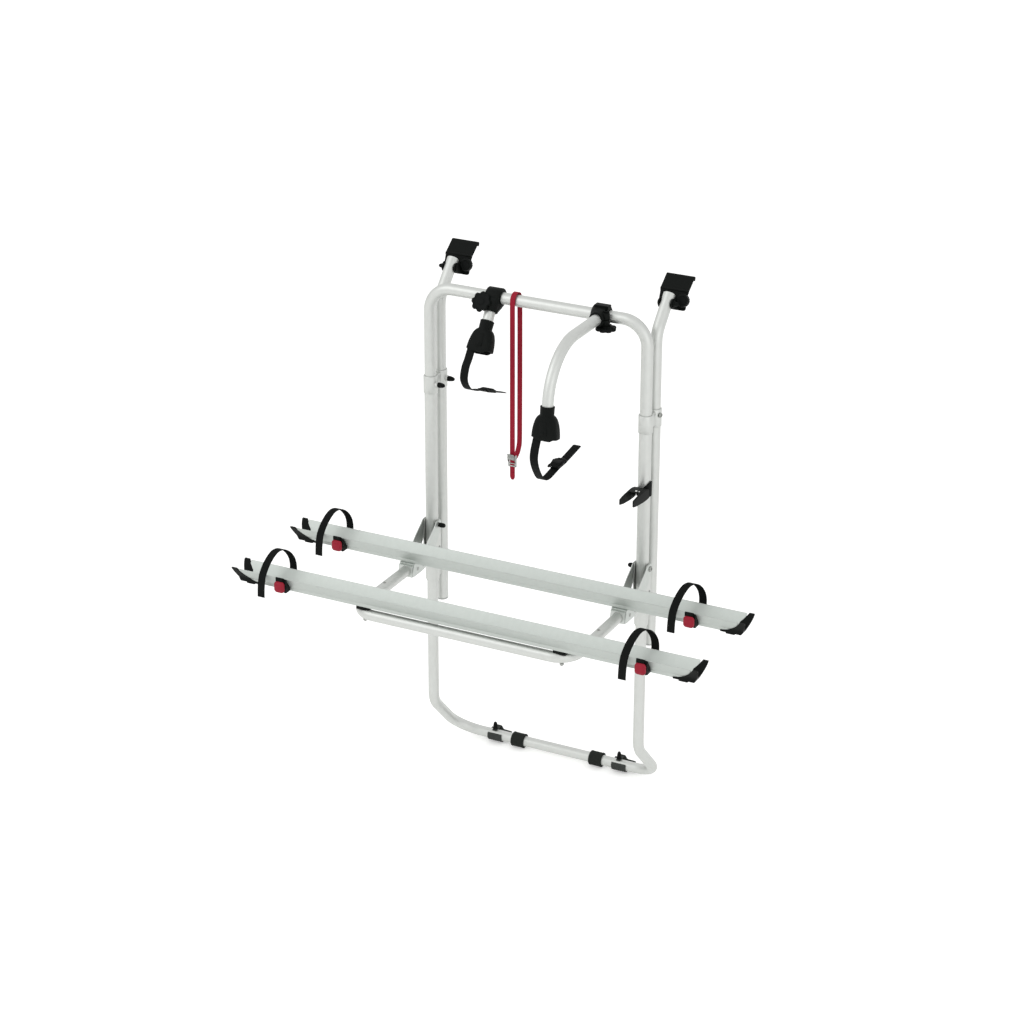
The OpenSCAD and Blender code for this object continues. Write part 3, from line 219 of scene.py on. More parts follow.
def piece(name, form, body, finish, nodes=(), bevel=0.0, crease=35):
    """A finished mesh that rides on a body and stands for the CAD nodes it names."""
    mesh = bpy.data.meshes.new(name)
    mesh.from_pydata([v * MM for v in form.verts], [], form.faces)
    edit = bmesh.new()
    edit.from_mesh(mesh)
    bmesh.ops.remove_doubles(edit, verts=edit.verts, dist=0.002 * MM)
    bmesh.ops.recalc_face_normals(edit, faces=edit.faces)
    edit.to_mesh(mesh)
    edit.free()
    for polygon in mesh.polygons:
        polygon.use_smooth = True
    mesh.materials.append(finish)
    made = bpy.data.objects.new(name, mesh)
    bpy.context.collection.objects.link(made)
    if bevel:
        edge = made.modifiers.new("edge", "BEVEL")
        edge.width = bevel * MM
        edge.segments = 2
        edge.limit_method = "ANGLE"
        edge.angle_limit = math.radians(crease)
        edge.harden_normals = True
    else:
        mesh.set_sharp_from_angle(angle=math.radians(crease))
    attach(made, body)
    if nodes:
        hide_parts(*nodes)
    return made


def loft(rings, capped=True):
    """A skin over rings that all have the same number of points."""
    count = len(rings[0])
    verts = [v for ring in rings for v in ring]
    faces = []
    for r in range(len(rings) - 1):
        low, high = r * count, (r + 1) * count
        for i in range(count):
            j = (i + 1) % count
            faces.append((low + i, low + j, high + j, high + i))
    if capped:
        faces.append(tuple(reversed(range(count))))
        faces.append(tuple(range(len(verts) - count, len(verts))))
    return verts, faces


def turned(radius, z, sides, shape=None):
    """A ring about Z; shape(angle, height) scales its radius."""
    ring = []
    for k in range(sides):
        angle = 2 * math.pi * k / sides
        r = radius * (shape(angle, z) if shape else 1)
        ring.append((r * math.cos(angle), r * math.sin(angle), z))
    return ring


def lathe(profile, sides=48, shape=None):
    """(radius, height) pairs turned about Z, with a cap at each end."""
    return loft([turned(radius, z, sides, shape) for radius, z in profile])


def lathe_loop(loop, sides=48):
    """A closed (radius, height) loop turned about Z."""
    return loft([turned(radius, z, sides) for radius, z in loop + loop[:1]], capped=False)


def lobed(profile, count, depth, power):
    """(radius, height, share) rings about Z that take that share of the lobes."""
    def lobes(share):
        return lambda angle, z: 1 - share * depth * (0.5 - 0.5 * math.cos(count * angle)) ** power
    return loft([turned(radius, z, 96, lobes(share)) for radius, z, share in profile])


def slab(outline, low, high):
    """A plate across X between low and high, from a (y, z) outline."""
    return loft([[(x, y, z) for y, z in outline] for x in (low, high)])


def prism(outline, low, high):
    """A plate across Z between low and high, from an (x, y) outline."""
    return loft([[(x, y, z) for x, y in outline] for z in (low, high)])


def block(low, high):
    """A box between two corners."""
    (x0, y0, z0), (x1, y1, z1) = low, high
    return slab([(y0, z0), (y1, z0), (y1, z1), (y0, z1)], x0, x1)


def circle(radius, steps, start=0, end=360, centre=(0, 0)):
    """Points of a circle or arc, in degrees."""
    count = steps if end - start == 360 else steps + 1
    angles = [math.radians(start + (end - start) * k / steps) for k in range(count)]
    return [(centre[0] + radius * math.cos(a), centre[1] + radius * math.sin(a)) for a in angles]


def rounded(width, height, radius, steps=3, centre=(0, 0)):
    """The outline of a rectangle with rounded corners."""
    w, h = width / 2 - radius, height / 2 - radius
    points = []
    for cx, cy, start in ((w, h, 0), (-w, h, 90), (-w, -h, 180), (w, -h, 270)):
        points += circle(radius, steps, start, start + 90, (centre[0] + cx, centre[1] + cy))
    return points


def oval(width, depth, power, z, lift=None):
    """A ring between an ellipse (power 2) and a rounded rectangle (power 4 and up)."""
    ring, sides = [], 48
    for k in range(sides):
        angle = 2 * math.pi * k / sides
        c, s = math.cos(angle), math.sin(angle)
        x = width / 2 * math.copysign(abs(c) ** (2 / power), c)
        y = depth / 2 * math.copysign(abs(s) ** (2 / power), s)
        ring.append((x, y, z + (lift(x) if lift else 0)))
    return ring


def smooth(points, steps):
    """A smooth line through the points."""
    line = []
    for i in range(len(points) - 1):
        a, b = Vector(points[max(i - 1, 0)]), Vector(points[i])
        c, d = Vector(points[i + 1]), Vector(points[min(i + 2, len(points) - 1)])
        for k in range(steps):
            u = k / steps
            line.append(0.5 * (2 * b + (c - a) * u + (2 * a - 5 * b + 4 * c - d) * u * u
                               + (3 * b - a - 3 * c + d) * u ** 3))
    return line + [Vector(points[-1])]


def along(points, spacing):
    """The same line with evenly spaced points."""
    lengths = [0]
    for a, b in zip(points, points[1:]):
        lengths.append(lengths[-1] + (b - a).length)
    count = max(2, round(lengths[-1] / spacing))
    line, at = [], 0
    for k in range(count + 1):
        goal = lengths[-1] * k / count
        while at < len(points) - 2 and lengths[at + 1] < goal:
            at += 1
        span = lengths[at + 1] - lengths[at]
        line.append(points[at].lerp(points[at + 1], (goal - lengths[at]) / span if span else 0))
    return line


def sweep(path, section, steady=False):
    """A band along a path: section gives its (side, up) outline at each step. A steady side
    keeps its direction, as in a band whose ends lie flat but not in line."""
    rings = []
    side = Vector((-1, 0, 0))
    for i, point in enumerate(path):
        course = (path[min(i + 1, len(path) - 1)] - path[max(i - 1, 0)]).normalized()
        if not steady:
            side = (side - course * side.dot(course)).normalized()
        above = course.cross(side).normalized()
        rings.append([point + side * u + above * v for u, v in section(i)])
    return loft(rings)


def place(x, y, z):
    """A move."""
    return Matrix.Translation((x, y, z))


def spin(axis, degrees):
    """A turn about the X, Y or Z axis."""
    return Matrix.Rotation(math.radians(degrees), 4, axis)


def fluted(count, depth, low, high):
    """Shallow grip flutes round a knob, between two heights."""
    return lambda angle, z: (1 - depth * (0.5 - 0.5 * math.cos(count * angle)) ** 2
                             if low < z < high else 1)


# Main places that several pieces share

POST_X, POST_Y = 300, -160
TOP_Z = 1306.4
SIDES = {"left": -1, "right": 1}

# Wheel rails, with their caps, straps and buckles

RAILS = {"front": -562.0, "rear": -277.0}
RAIL_Z, RAIL_H, RAIL_FLOOR = 598.0, 38, 9
RAIL_END, TIP = 620.0, 640.0

RAIL_HALF = [(4, 0), (14, 0), (14.5, 0.5), (14.5, 8.8), (15.2, 10.2), (31.6, 36.6), (32, 37.6),
             (31.4, 38), (30.2, 38), (29.6, 37.4), (13.2, 10.6), (11.8, 9.2), (10, 9)]
RAIL_INNER = [(12.7, 1.8), (12.7, 7.2)]


def rail_outline():
    """The rail's section: a flared trough on a box with a bolt slot."""
    outside = RAIL_HALF + [(-u, w) for u, w in reversed(RAIL_HALF)]
    return outside + [(-4, 1.8)] + [(-u, w) for u, w in RAIL_INNER] \
        + list(reversed(RAIL_INNER)) + [(4, 1.8)]


for name, y in RAILS.items():
    outline = [(y + u, RAIL_Z + w) for u, w in rail_outline()]
    stations = [-RAIL_END + 2 * RAIL_END * k / 8 for k in range(9)]
    form = Form().put(loft([[(x, v, w) for v, w in outline] for x in stations]))
    piece(name + "_wheel_rail", form, "platform", RAIL, [name + "_rail"],
          crease=24)

CAP_T, CAP_TAIL, CAP_LINING = 1.6, 70, 32


def cap_half_width(w, grow):
    """Half the width of the rail's outside at height w, plus grow."""
    return 14.5 + max(0.0, w - RAIL_FLOOR) * 17.5 / (RAIL_H - RAIL_FLOOR) + grow


def cap_height(s):
    """Height of the cap's wing at distance s from the tip."""
    if s <= 14:
        return 39.0
    u = (s - 14) / (CAP_TAIL - 14)
    return 3 + 36 * (1 - u) ** 2.3


def cap_edge(w):
    """How far the end edge leans in from the tip at height w."""
    top = 37
    return 0 if w > top else 15 * (1 - (w + CAP_T) / (top + CAP_T)) ** 1.5


def cap_ring(s, lined, side):
    """The cap's section at distance s from the tip; a lined one also fills the trough."""
    top = cap_height(s)
    outer, inner = [], []
    for k in range(9):
        w = -CAP_T + (top + CAP_T) * k / 8
        outer.append((cap_half_width(w, CAP_T), w))
        if lined:
            low = RAIL_FLOOR + CAP_T
            h = low + max(0.0, top - low) * k / 8 if top > low else low
            inner.append((cap_half_width(h, -3.6), h))
        else:
            h = top * k / 8
            inner.append((cap_half_width(h, 0.15), h))
    half = outer + list(reversed(inner))
    ring = half + [(-u, w) for u, w in reversed(half)]
    return [(side * (TIP - s - cap_edge(w) * max(0.0, 1 - s / 22)), u, RAIL_Z + w)
            for u, w in ring]


form = Form()
for y in RAILS.values():
    for side in (-1, 1):
        rings = [cap_ring(s, True, side) for s in (0, 3, 8, 14, 20, 26, CAP_LINING)]
        rings += [cap_ring(s, False, side) for s in (CAP_LINING + 0.2, 40, 48, 56, 64, CAP_TAIL)]
        form.put(loft(rings), place(0, y, 0))
        # Bolted clamp pad under the tail, where the cap grips the rail's base.
        form.put(prism(rounded(24, 32.6, 3), RAIL_Z - 4.5, RAIL_Z - 1.2),
                 place(side * (TIP - 44), y, 0))
piece("rail_caps", form, "platform", BLACK, ["rail_end_caps"], bevel=0.6,
      crease=38)

# Each wheel strap stands turned on its rail, a little left of its buckle.
STRAP_YAW, STRAP_X, STRAP_BACK = -35, 500, 22
STRAP_W, BAND_W = 21, 22.5
STRAP_T, TOOTH, TOOTH_STEP = 1.8, 0.9, 1.9


def toothed(width):
    """A strap's section with rounded edges and a tooth at every other step."""
    def section(step):
        rise = TOOTH if step % 2 == 0 else 0
        half, t = width / 2, STRAP_T / 2
        return [(half - 0.7, -t), (half, 0), (half - 0.7, t), (half - 3.2, t),
                (half - 3.6, t + rise), (3.6 - half, t + rise), (3.2 - half, t),
                (0.7 - half, t), (-half, 0), (0.7 - half, -t)]
    return section


def wheel_strap_line():
    """The strap's line over the wheel, then hanging in front; its ends lie flat on the
    rail's walls but not in line with each other."""
    line = ((40.5, -8), (41.4, 0), (41, 15), (37.4, 31), (29, 46), (18, 56.4), (6, 60.6),
            (-7, 57.4), (-18, 47), (-28, 33), (-36, 18), (-42.4, 2), (-45.4, -10), (-48.4, -34),
            (-49.4, -60))
    aslant = [spin("Z", STRAP_YAW) @ Vector((0, y, z)) for y, z in line]
    return along(smooth(aslant, 3), TOOTH_STEP)


form = Form()
line = wheel_strap_line()
for y in RAILS.values():
    for side in (-1, 1):
        at = place(side * STRAP_X - STRAP_BACK, y, RAIL_Z + RAIL_H)
        form.put(sweep(line, toothed(STRAP_W), steady=True), at)
piece("wheel_straps", form, "platform", STRAP, ["rail_straps"], crease=28)

BUCKLE_X = 496
BUTTON = (2, 18.5)


def buckle_form():
    """A ratchet buckle: a wedge on the rail's front wall, round-shouldered, with a lid."""
    form = Form()
    wedge = [(-15, 1), (-15, 9), (-32.4, 38), (-33, 40), (-37, 40.6), (-37.6, 38.4),
             (-37.8, 33), (-37.8, 12), (-37.6, 4), (-34, 1)]
    form.put(slab(wedge, -12, 11))
    flank = [(-15, 0), (-15, 9), (-31.6, 36), (-34, 38), (-37, 37), (-37.7, 32), (-37.7, 8),
             (-34, 0)]
    form.put(slab(flank, 11, 14.6))
    form.put(slab([(y, z * 0.94 + 1) for y, z in flank], 14.6, 16.6))
    # Lid over the ratchet's pawl, with a thumb ridge.
    form.put(slab([(-36, 33.4), (-37, 41.6), (-40.4, 40.6), (-42, 36), (-42, 32.6)], -9, 10))
    form.put(slab([(-41, 31), (-41, 32.4), (-43, 32.2), (-43, 31.2)], -6, 7))
    return form


form = Form()
shape = buckle_form()
for y in RAILS.values():
    for side in (-1, 1):
        form.put(shape, place(side * BUCKLE_X, y, RAIL_Z))
piece("wheel_buckles", form, "platform", BLACK, ["rail_buckles"], bevel=0.7)

button = rounded(28, 29, 8, 6)
for name, y in RAILS.items():
    for end, side in SIDES.items():
        at = place(side * BUCKLE_X + BUTTON[0], y, RAIL_Z + BUTTON[1])
        form = Form()
        form.put(loft([[(u * k, -v, w * k) for u, w in button]
                       for v, k in ((41, 1), (45, 1), (46.2, 0.94), (46.4, 0.78), (47.6, 0.72),
                                    (48, 0.64), (47.8, 0.3))]), at)
        form.put(block((-4, -41.2, -4), (8, -38, 3)), at)
        piece(name + "_" + end + "_release", form, name + "_" + end + "_button", RED,
              [name + "_" + end + "_button"], crease=40)


# Bike arms: heads, clamps, star knobs and ratchet straps

ARM_X = {"left": -118, "right": 180}
LEFT_ARM = place(ARM_X["left"], POST_Y, TOP_Z) @ spin("X", 146)
RIGHT_ARM = place(ARM_X["right"], POST_Y, TOP_Z) @ spin("X", 90) @ spin("Z", 180)
# The right arm's tube runs straight for its reach and then takes one bend.
LEFT_REACH, RIGHT_REACH = 56, 159.3
BEND_R, BEND = 143, 82.7582
LEFT_HEAD = LEFT_ARM @ place(0, 0, LEFT_REACH)
RIGHT_HEAD = RIGHT_ARM @ place(0, 0, RIGHT_REACH) @ spin("Z", 90) \
    @ place(BEND_R * (1 - math.cos(math.radians(BEND))), 0,
            BEND_R * math.sin(math.radians(BEND))) @ spin("Y", BEND) @ spin("Z", -90)
ARMS = {"left": LEFT_ARM, "right": RIGHT_ARM}
HEADS = {"left": LEFT_HEAD, "right": RIGHT_HEAD}


def head_form():
    """A head: straight neck, sloping shoulders and a bell with a tongue in its hem."""
    form = Form()

    def hem(x):
        share = min(max((abs(x) - 17) / 9, 0), 1)
        return 5.5 - 5.5 * share * share * (3 - 2 * share)

    outer = [(28.3, 28.3, 2, 22), (28.3, 28.3, 2, 7.5), (34, 34, 2, 7.5),
             (35.6, 35.6, 2, 8.4), (35.8, 35.8, 2, 10), (35, 35, 2, 11), (34.8, 34.8, 2, 18),
             (34.4, 34.4, 2, 28), (35, 34, 2, 29.6), (40.4, 34.6, 2.2, 31.4),
             (46, 35.4, 2.6, 34.4), (51.6, 36.2, 3, 39), (56, 36.8, 3.4, 45),
             (59.6, 37, 3.8, 52), (62.6, 36.6, 4.2, 60), (65, 35.4, 4.6, 68),
             (66.8, 33.6, 4.8, 76)]
    rim = [(68, 31.6, 5, 84), (67.2, 30.8, 5, 85), (61.4, 26, 4, 85), (60.4, 25.4, 4, 84)]
    inner = [(58, 28, 3.6, 66), (48, 29, 3, 52)]
    form.put(loft([oval(*sizes) for sizes in outer] + [oval(*sizes, lift=hem) for sizes in rim]
                  + [oval(*sizes) for sizes in inner]))
    # A raised panel on the bell's back and front, where the two halves are screwed.
    for side in (-1, 1):
        panel = rounded(20, 34, 5, centre=(0, 60))
        form.put(loft([[(u * k, side * v, 60 + (w - 60) * k) for u, w in panel]
                       for v, k in ((16, 1), (18.6, 1), (19.2, 0.94))]))
        form.put(lathe([(3.4, 18), (3.4, 19.6), (2.9, 20)], 20),
                 place(0, 0, 70) @ spin("X", -90 * side))
    return form


shape = head_form()
for side, at in HEADS.items():
    piece(side + "_head", Form().put(shape, at), side + "_arm", BLACK,
          [side + "_arm_head"], bevel=0.5, crease=40)


def split(form, gap):
    """The form cut in two across Y, with a gap between its halves."""
    made = Form()
    for sign in (-1, 1):
        cut = bmesh.new()
        mesh = bpy.data.meshes.new("cut")
        mesh.from_pydata(form.verts, [], form.faces)
        cut.from_mesh(mesh)
        bmesh.ops.remove_doubles(cut, verts=cut.verts, dist=0.002)
        result = bmesh.ops.bisect_plane(cut, geom=cut.verts[:] + cut.edges[:] + cut.faces[:],
                                        plane_co=(0, sign * gap / 2, 0),
                                        plane_no=(0, sign, 0), clear_inner=True)
        edges = [e for e in result["geom_cut"] if isinstance(e, bmesh.types.BMEdge)]
        bmesh.ops.holes_fill(cut, edges=edges)
        made.put(([v.co.copy() for v in cut.verts],
                  [[v.index for v in f.verts] for f in cut.faces]))
        cut.free()
        bpy.data.meshes.remove(mesh)
    return made


# The clamp's bolt, in its arm's own axes.
BOLT_X, BOLT_Z = -19, 23


def clamp_form():
    """Two cast halves round the bush, a fairing down to the tube's socket and a bolt lug."""
    ring = [(17.1, -16), (22.2, -16), (23.74, -15.34), (24.4, -13.8), (24.4, 21.8),
            (23.74, 23.34), (22.2, 24), (17.1, 24)]
    # The fairing starts inside the ring, where the bush and the bar hide its end.
    skin = []
    for z, k in ((8, 0), (16, 0.12), (24, 0.45), (31, 0.8), (36, 0.97)):
        width = 40 * (1 - k) + 38.4 * k
        depth = 46.5 * (1 - k) + 38.4 * k
        skin.append([(x + 4 * (1 - k), y, h) for x, y, h in oval(width, depth, 6 - 4 * k, z)])
    skin += [oval(wide, wide, 2, z) for wide, z in ((38.4, 39), (36.4, 40.2), (28.6, 40.2),
                                                    (28.6, 30))]
    gap = 1.6
    made = split(Form().put(lathe_loop(ring), spin("Y", 90)), gap)
    made.put(split(Form().put(loft(skin)), gap))
    for low, high, boss in ((-17, -1, [(8.2, -17), (9.2, -15.8), (9.2, -1)]),
                            (1, 20, [(9.2, 1), (9.2, 18.8), (8.2, 20)])):
        made.put(lathe(boss, 32), place(BOLT_X, 0, BOLT_Z) @ spin("X", -90))
        made.put(block((BOLT_X, low + 1, BOLT_Z - 7.5), (-6, high - 1, BOLT_Z + 7.5)))
    return made


for side, at in ARMS.items():
    shape = clamp_form()
    if side == "right":
        # Squared lug on top, where this half of the clamp is pulled on.
        shape.put(block((-19, -11, 8), (19, 7, 28)), at.to_3x3().inverted().to_4x4())
    piece(side + "_clamp", Form().put(shape, at), side + "_arm", BLACK,
          [side + "_arm_clamp"], bevel=0.6, crease=40)


def star_form():
    """An eight-lobed hand knob on its bolt, with a nut at the far side."""
    profile = [(12, -3, 0), (13, -1.8, 0), (20, -1.2, 0.65), (25, -0.4, 1), (26.3, 0.8, 1),
               (26.6, 2.6, 1), (26.4, 5, 1), (25.4, 6.8, 1), (23.8, 7.6, 1), (21.8, 7.4, 0.8),
               (17, 6.4, 0), (9, 6, 0), (8, 6.6, 0), (6.5, 6.8, 0)]
    form = Form().put(lobed(profile, 8, 0.15, 1.8))
    form.put(lathe([(4, -43), (4, 1)], 24))
    form.put(lathe([(5.4, -43), (6.9, -42), (6.9, -38.6), (6.4, -38)], 6))
    return form


shape = star_form()
for side, at in ARMS.items():
    seated = at @ place(BOLT_X, 20.4, BOLT_Z) @ spin("X", -90)
    piece(side + "_star", Form().put(shape, seated), side + "_star", KNOB,
          [side + "_star_knob"], crease=38)

# Where each soft strap hangs from as the folding platform pushes past it, in metres.
STRAP_HANGS_FROM = {"left": (-0.137, -0.25, 1.19), "right": (0.161, -0.47, 1.095)}
# Each strap's line in the plane of its clamp's bolt: y from the posts' front tubes, and z.
STRAP_RUN = {
    "left": [(-84.9, 1196), (-103, 1172), (-118, 1155), (-126, 1126), (-108, 1098), (-80, 1083),
             (-47, 1072), (-4, 1054), (85, 1020)],
    "right": [(-313, 1104), (-336, 1049), (-309, 994), (-275, 974), (-212, 981), (-164, 985),
              (-97, 995)]}
BUCKLE_AT = {"left": (-3, 1054, -21), "right": (-207, 987, 2)}


def ratchet_form():
    """A ratchet buckle: side cheeks, a hinged lever with grip ribs and a release tab."""
    form = Form()
    cheek = [(-25, -1), (-25, 3), (-21, 4.4), (-9, 3.6), (-3, 5.4), (3, 8), (9, 8), (13, 4.6),
             (21, 4.4), (25, 3), (25, -1), (21, -2.4), (-21, -2.4)]
    for x in (-14.6, 12):
        form.put(slab(cheek, x, x + 2.6))
    for y in (-21, 19):
        form.put(slab([(y, -2.2), (y, -1), (y + 3, -1), (y + 3, -2.2)], -13, 13))
    lever = [(-24, 2.2), (-23, 4.2), (-9, 7.2), (4, 8.4), (9, 7.6), (10, 5.6), (4, 5),
             (-9, 5)]
    form.put(slab(lever, -11.6, 11.6))
    for k in range(4):
        y, z = -21 + 3.6 * k, 4.4 + 0.78 * k
        form.put(slab([(y, z), (y + 1.8, z), (y + 1.4, z + 1.2), (y + 0.4, z + 1)], -10, 10))
    tab = [(14, 2.6), (14, 5), (19, 6.8), (26, 5), (27, 2.6)]
    form.put(slab(tab, -9, 9))
    for y, z in ((6, 5.4), (17, 3)):
        form.put(lathe([(1.8, -15.2), (2.6, -14.8), (2.6, 14.8), (1.8, 15.2)], 20),
                 place(0, y, z) @ spin("Y", 90))
    return form


shape = ratchet_form()
for side, points in STRAP_RUN.items():
    line = along(smooth([(0, y, z) for y, z in points], 6), TOOTH_STEP)
    at = place(ARM_X[side] + BOLT_X, POST_Y, 0)
    form = Form().put(sweep(line, toothed(BAND_W)), at)
    y, z, lean = BUCKLE_AT[side]
    form.put(shape, at @ place(0, y, z) @ spin("X", lean))
    band = piece(side + "_ratchet_strap", form, side + "_arm", STRAP,
                 [side + "_arm_strap"], crease=32)
    STRAP_HANGS_FROM[side]
    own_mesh(band)


# Roof brackets, with their clamping knobs and tilt bolts

ROOF_LEAN = 21
TILT_Y, TILT_Z = -50.04, 1323.08
TO_PLATE = 35.6


def at_tilt(side):
    """The place of a roof bracket's tilt bolt."""
    return place(side * POST_X, TILT_Y, TILT_Z) @ spin("X", -ROOF_LEAN)


def strip(path, width, thick, soft, ends=0.0):
    """A strip of plate along a (y, z) path with softened edges; ends rounds its corners."""
    spacing = 1.6
    line = along(smooth([(0, y, z) for y, z in path], 8), spacing)
    total = len(line) - 1

    def section(step):
        from_end = min(step, total - step) * spacing
        cut = ends - math.sqrt(max(0.0, ends ** 2 - max(0.0, ends - from_end) ** 2))
        w, t = width / 2 - cut, thick / 2
        return [(w - soft, -t), (w, soft - t), (w, t - soft), (w - soft, t),
                (soft - w, t), (-w, t - soft), (-w, soft - t), (soft - w, -t)]
    return sweep(line, section)


def bracket_form():
    """A roof bracket about its tilt bolt: a plate, a hood, a bead and two ears."""
    form = Form()
    # Plate against the body, with rounded lower corners.
    form.put(strip([(37.6, -13.2), (37.6, 0), (37.6, 22), (37.8, 35)], 74, 4, 0.8, 6))
    # Hood over the roof's edge: a slope that ends in a curled lip.
    form.put(strip([(37.4, 30), (38, 35.4), (40.6, 40), (46.4, 49), (52.6, 58.8), (58.8, 68.6),
                    (61.4, 72.2), (64.4, 72.6), (65.6, 69.4), (65, 64)], 76, 4, 0.9))
    # Bead along the fold.
    form.put(lathe([(2.2, -37.3), (3, -36.6), (3, 36.6), (2.2, 37.3)], 20),
             place(0, 36.2, 35.4) @ spin("Y", 90))
    # Ears for the tilt bolt, widest at the plate, each with a round boss outside.
    ear = [(-11.4, 6.4), (-13, 0), (-11.4, -6.4), (-6.4, -11.4), (0, -13), (12, -13.4),
           (36, -13.2), (36, 15), (12, 13.4), (0, 13), (-6.4, 11.4)]
    for x in (-18.3, 15.3):
        form.put(slab(ear, x, x + 3))
    for x in (-21.6, 18.4):
        form.put(lathe([(7.6, 0), (8.4, 0.6), (8.4, 2.4), (7.6, 3.2)], 32),
                 place(x, 0, 0) @ spin("Y", 90))
    return form


def round_knob_form():
    """A round hand screw with grip flutes and a dished face."""
    profile = [(3.5, -4, 0), (3.5, 0, 0), (10, 0, 0), (10.4, 0.6, 0), (10.4, 3, 0),
               (14.8, 4.4, 0.5), (16.4, 6, 1), (16.4, 15, 1), (15.8, 17, 0.7), (14.2, 18, 0.2),
               (11.4, 18, 0), (10.6, 17.4, 0), (9.8, 16.4, 0), (4, 16, 0)]
    return Form().put(lobed(profile, 16, 0.05, 2))


def tilt_form():
    """The tilt bolt: a hexagon head at one end and a small tapered knob at the other."""
    form = Form()
    form.put(lathe([(3.4, -19), (3.4, 19)], 24), spin("Y", 90))
    form.put(lathe([(5.2, -22.6), (5.9, -22), (5.9, -19.2), (5.2, -18.6)], 6), spin("Y", 90))
    form.put(lathe([(5.2, 18.8), (5.8, 19.4), (5.9, 23), (5.4, 26), (4.4, 29), (3.2, 31),
                    (1.6, 31.8)], 48, fluted(8, 0.1, 19.5, 30)), spin("Y", 90))
    return form


bracket, round_knob, tilt_bolt = bracket_form(), round_knob_form(), tilt_form()
for end, side in SIDES.items():
    piece(end + "_roof_hook", Form().put(bracket, at_tilt(side)), end + "_roof_hook", BLACK,
          [end + "_roof_bracket"], bevel=0.5, crease=40)
    seated = at_tilt(side) @ place(31.6, TO_PLATE - 0.3, 11.8) @ spin("X", 90)
    piece(end + "_roof_screw", Form().put(round_knob, seated), end + "_roof_clamp", KNOB,
          [end + "_roof_knob"], crease=35)
    seated = at_tilt(side) @ spin("Z", 90 - 90 * side)
    piece(end + "_tilt_bolt", Form().put(tilt_bolt, seated), end + "_tilt", KNOB,
          [end + "_tilt_knob"], crease=35)

# Collars, their knobs and screws, and the rear tubes' plugs

COLLAR_LOW, COLLAR_TOP = 1021, 1068
REAR_STEP = 52.7
KNOB_Z = 1044.5


def collar_form(bosses):
    """A double collar: two rings joined by a web, with or without bosses for its screws."""
    form = Form()
    for y in (0, REAR_STEP):
        loop = [(16.06, COLLAR_LOW), (17.6, COLLAR_LOW), (18.1, COLLAR_LOW + 0.6),
                (18.1, COLLAR_TOP - 1.4), (17.5, COLLAR_TOP - 0.4), (16.8, COLLAR_TOP),
                (15.2, COLLAR_TOP), (15.2, COLLAR_TOP - 11.8), (16.06, COLLAR_TOP - 11.8)]
        form.put(lathe_loop(loop, 64), place(0, y, 0))
        if bosses:
            form.put(lathe([(8.6, 15.8), (8.2, 19), (7.4, 21.6), (6.8, 22.1)], 32),
                     place(0, y, KNOB_Z) @ spin("Y", 90))
    web = [(19, COLLAR_TOP - 3), (33.7, COLLAR_TOP - 3), (33.7, COLLAR_LOW + 5),
           (31, COLLAR_LOW + 8), (26.3, COLLAR_LOW + 9.5), (21.6, COLLAR_LOW + 8),
           (19, COLLAR_LOW + 5)]
    form.put(slab(web, -11, 11))
    return form


for end, side in SIDES.items():
    form = Form().put(collar_form(bosses=end == "left"), place(side * POST_X, POST_Y, 0))
    piece(end + "_clamp_collar", form, "posts", TUBE, [end + "_collar"],
          bevel=0.5, crease=40)


def tapered_knob_form(length, wide, tip, stud):
    """A small hand screw: fluted, tapered and rounded at its tip, on a short stud."""
    form = Form().put(lathe([(3, -stud), (3, 0.5)], 24))
    profile = [(wide - 0.8, 0), (wide, 0.8), (wide, length * 0.3),
               (wide * 0.62 + tip * 0.38, length * 0.62), (tip + 0.4, length * 0.86),
               (tip * 0.7, length * 0.97), (tip * 0.3, length)]
    return form.put(lathe(profile, 60, fluted(10, 0.09, 1, length * 0.8)))


shape = tapered_knob_form(18.6, 7, 4.2, 6.2)
for name, y in (("front", POST_Y), ("rear", POST_Y + REAR_STEP)):
    at = place(22.4 - POST_X, y, KNOB_Z) @ spin("Y", 90)
    piece(name + "_collar_screw", Form().put(shape, at), name + "_collar_knob", KNOB,
          ["left_" + name + "_knob"], crease=35)

# The right collar's rear screw, turned a little to the front.
form = Form().put(lathe([(6, -1), (6.4, -0.4), (6.4, 3), (5.4, 4), (3.4, 4.2), (3.2, 2.6),
                         (0.6, 2.6)], 32), place(POST_X, POST_Y + REAR_STEP, KNOB_Z + 9)
                  @ spin("Z", -20) @ place(18.6, 0, 0) @ spin("Y", 90))
piece("right_collar_screws", form, "posts", ZINC, ["right_collar_bolts"],
      bevel=0.3, crease=40)

form = Form()
for side in (-1, 1):
    form.put(lathe([(4, -6), (11.4, -6), (13.6, -5.6), (15.2, -4.4), (16, -2.4), (16, 0),
                    (14, 0), (13.9, 15)], 64), place(side * POST_X, POST_Y + REAR_STEP, 426))
piece("post_plugs", form, "posts", PLUG, ["rear_tube_plugs"], bevel=0.3)

# Hinge: swing brackets, bolts and hinge knobs

PIVOT_Z = 656
ARM_Z = 578
CHEEK_OUT, CHEEK_T = 21.4, 2
SWING_BOLTS_Y = (-277, -247)
SLEEVE_LOW, SLEEVE_TOP = 500, 560


def eased(outline, reach, steps=5):
    """An outline whose corners are rounded, each over its own reach to both sides."""
    made = []
    for k, corner in enumerate(outline):
        spot = Vector(corner)
        before = Vector(outline[k - 1]) - spot
        after = Vector(outline[(k + 1) % len(outline)]) - spot
        cut = reach[k] if isinstance(reach, (list, tuple)) else reach
        cut = min(cut, before.length * 0.48, after.length * 0.48)
        start, end = spot + before.normalized() * cut, spot + after.normalized() * cut
        for n in range(steps + 1):
            t = n / steps
            made.append(tuple(start * (1 - t) ** 2 + spot * 2 * t * (1 - t) + end * t * t))
    return made


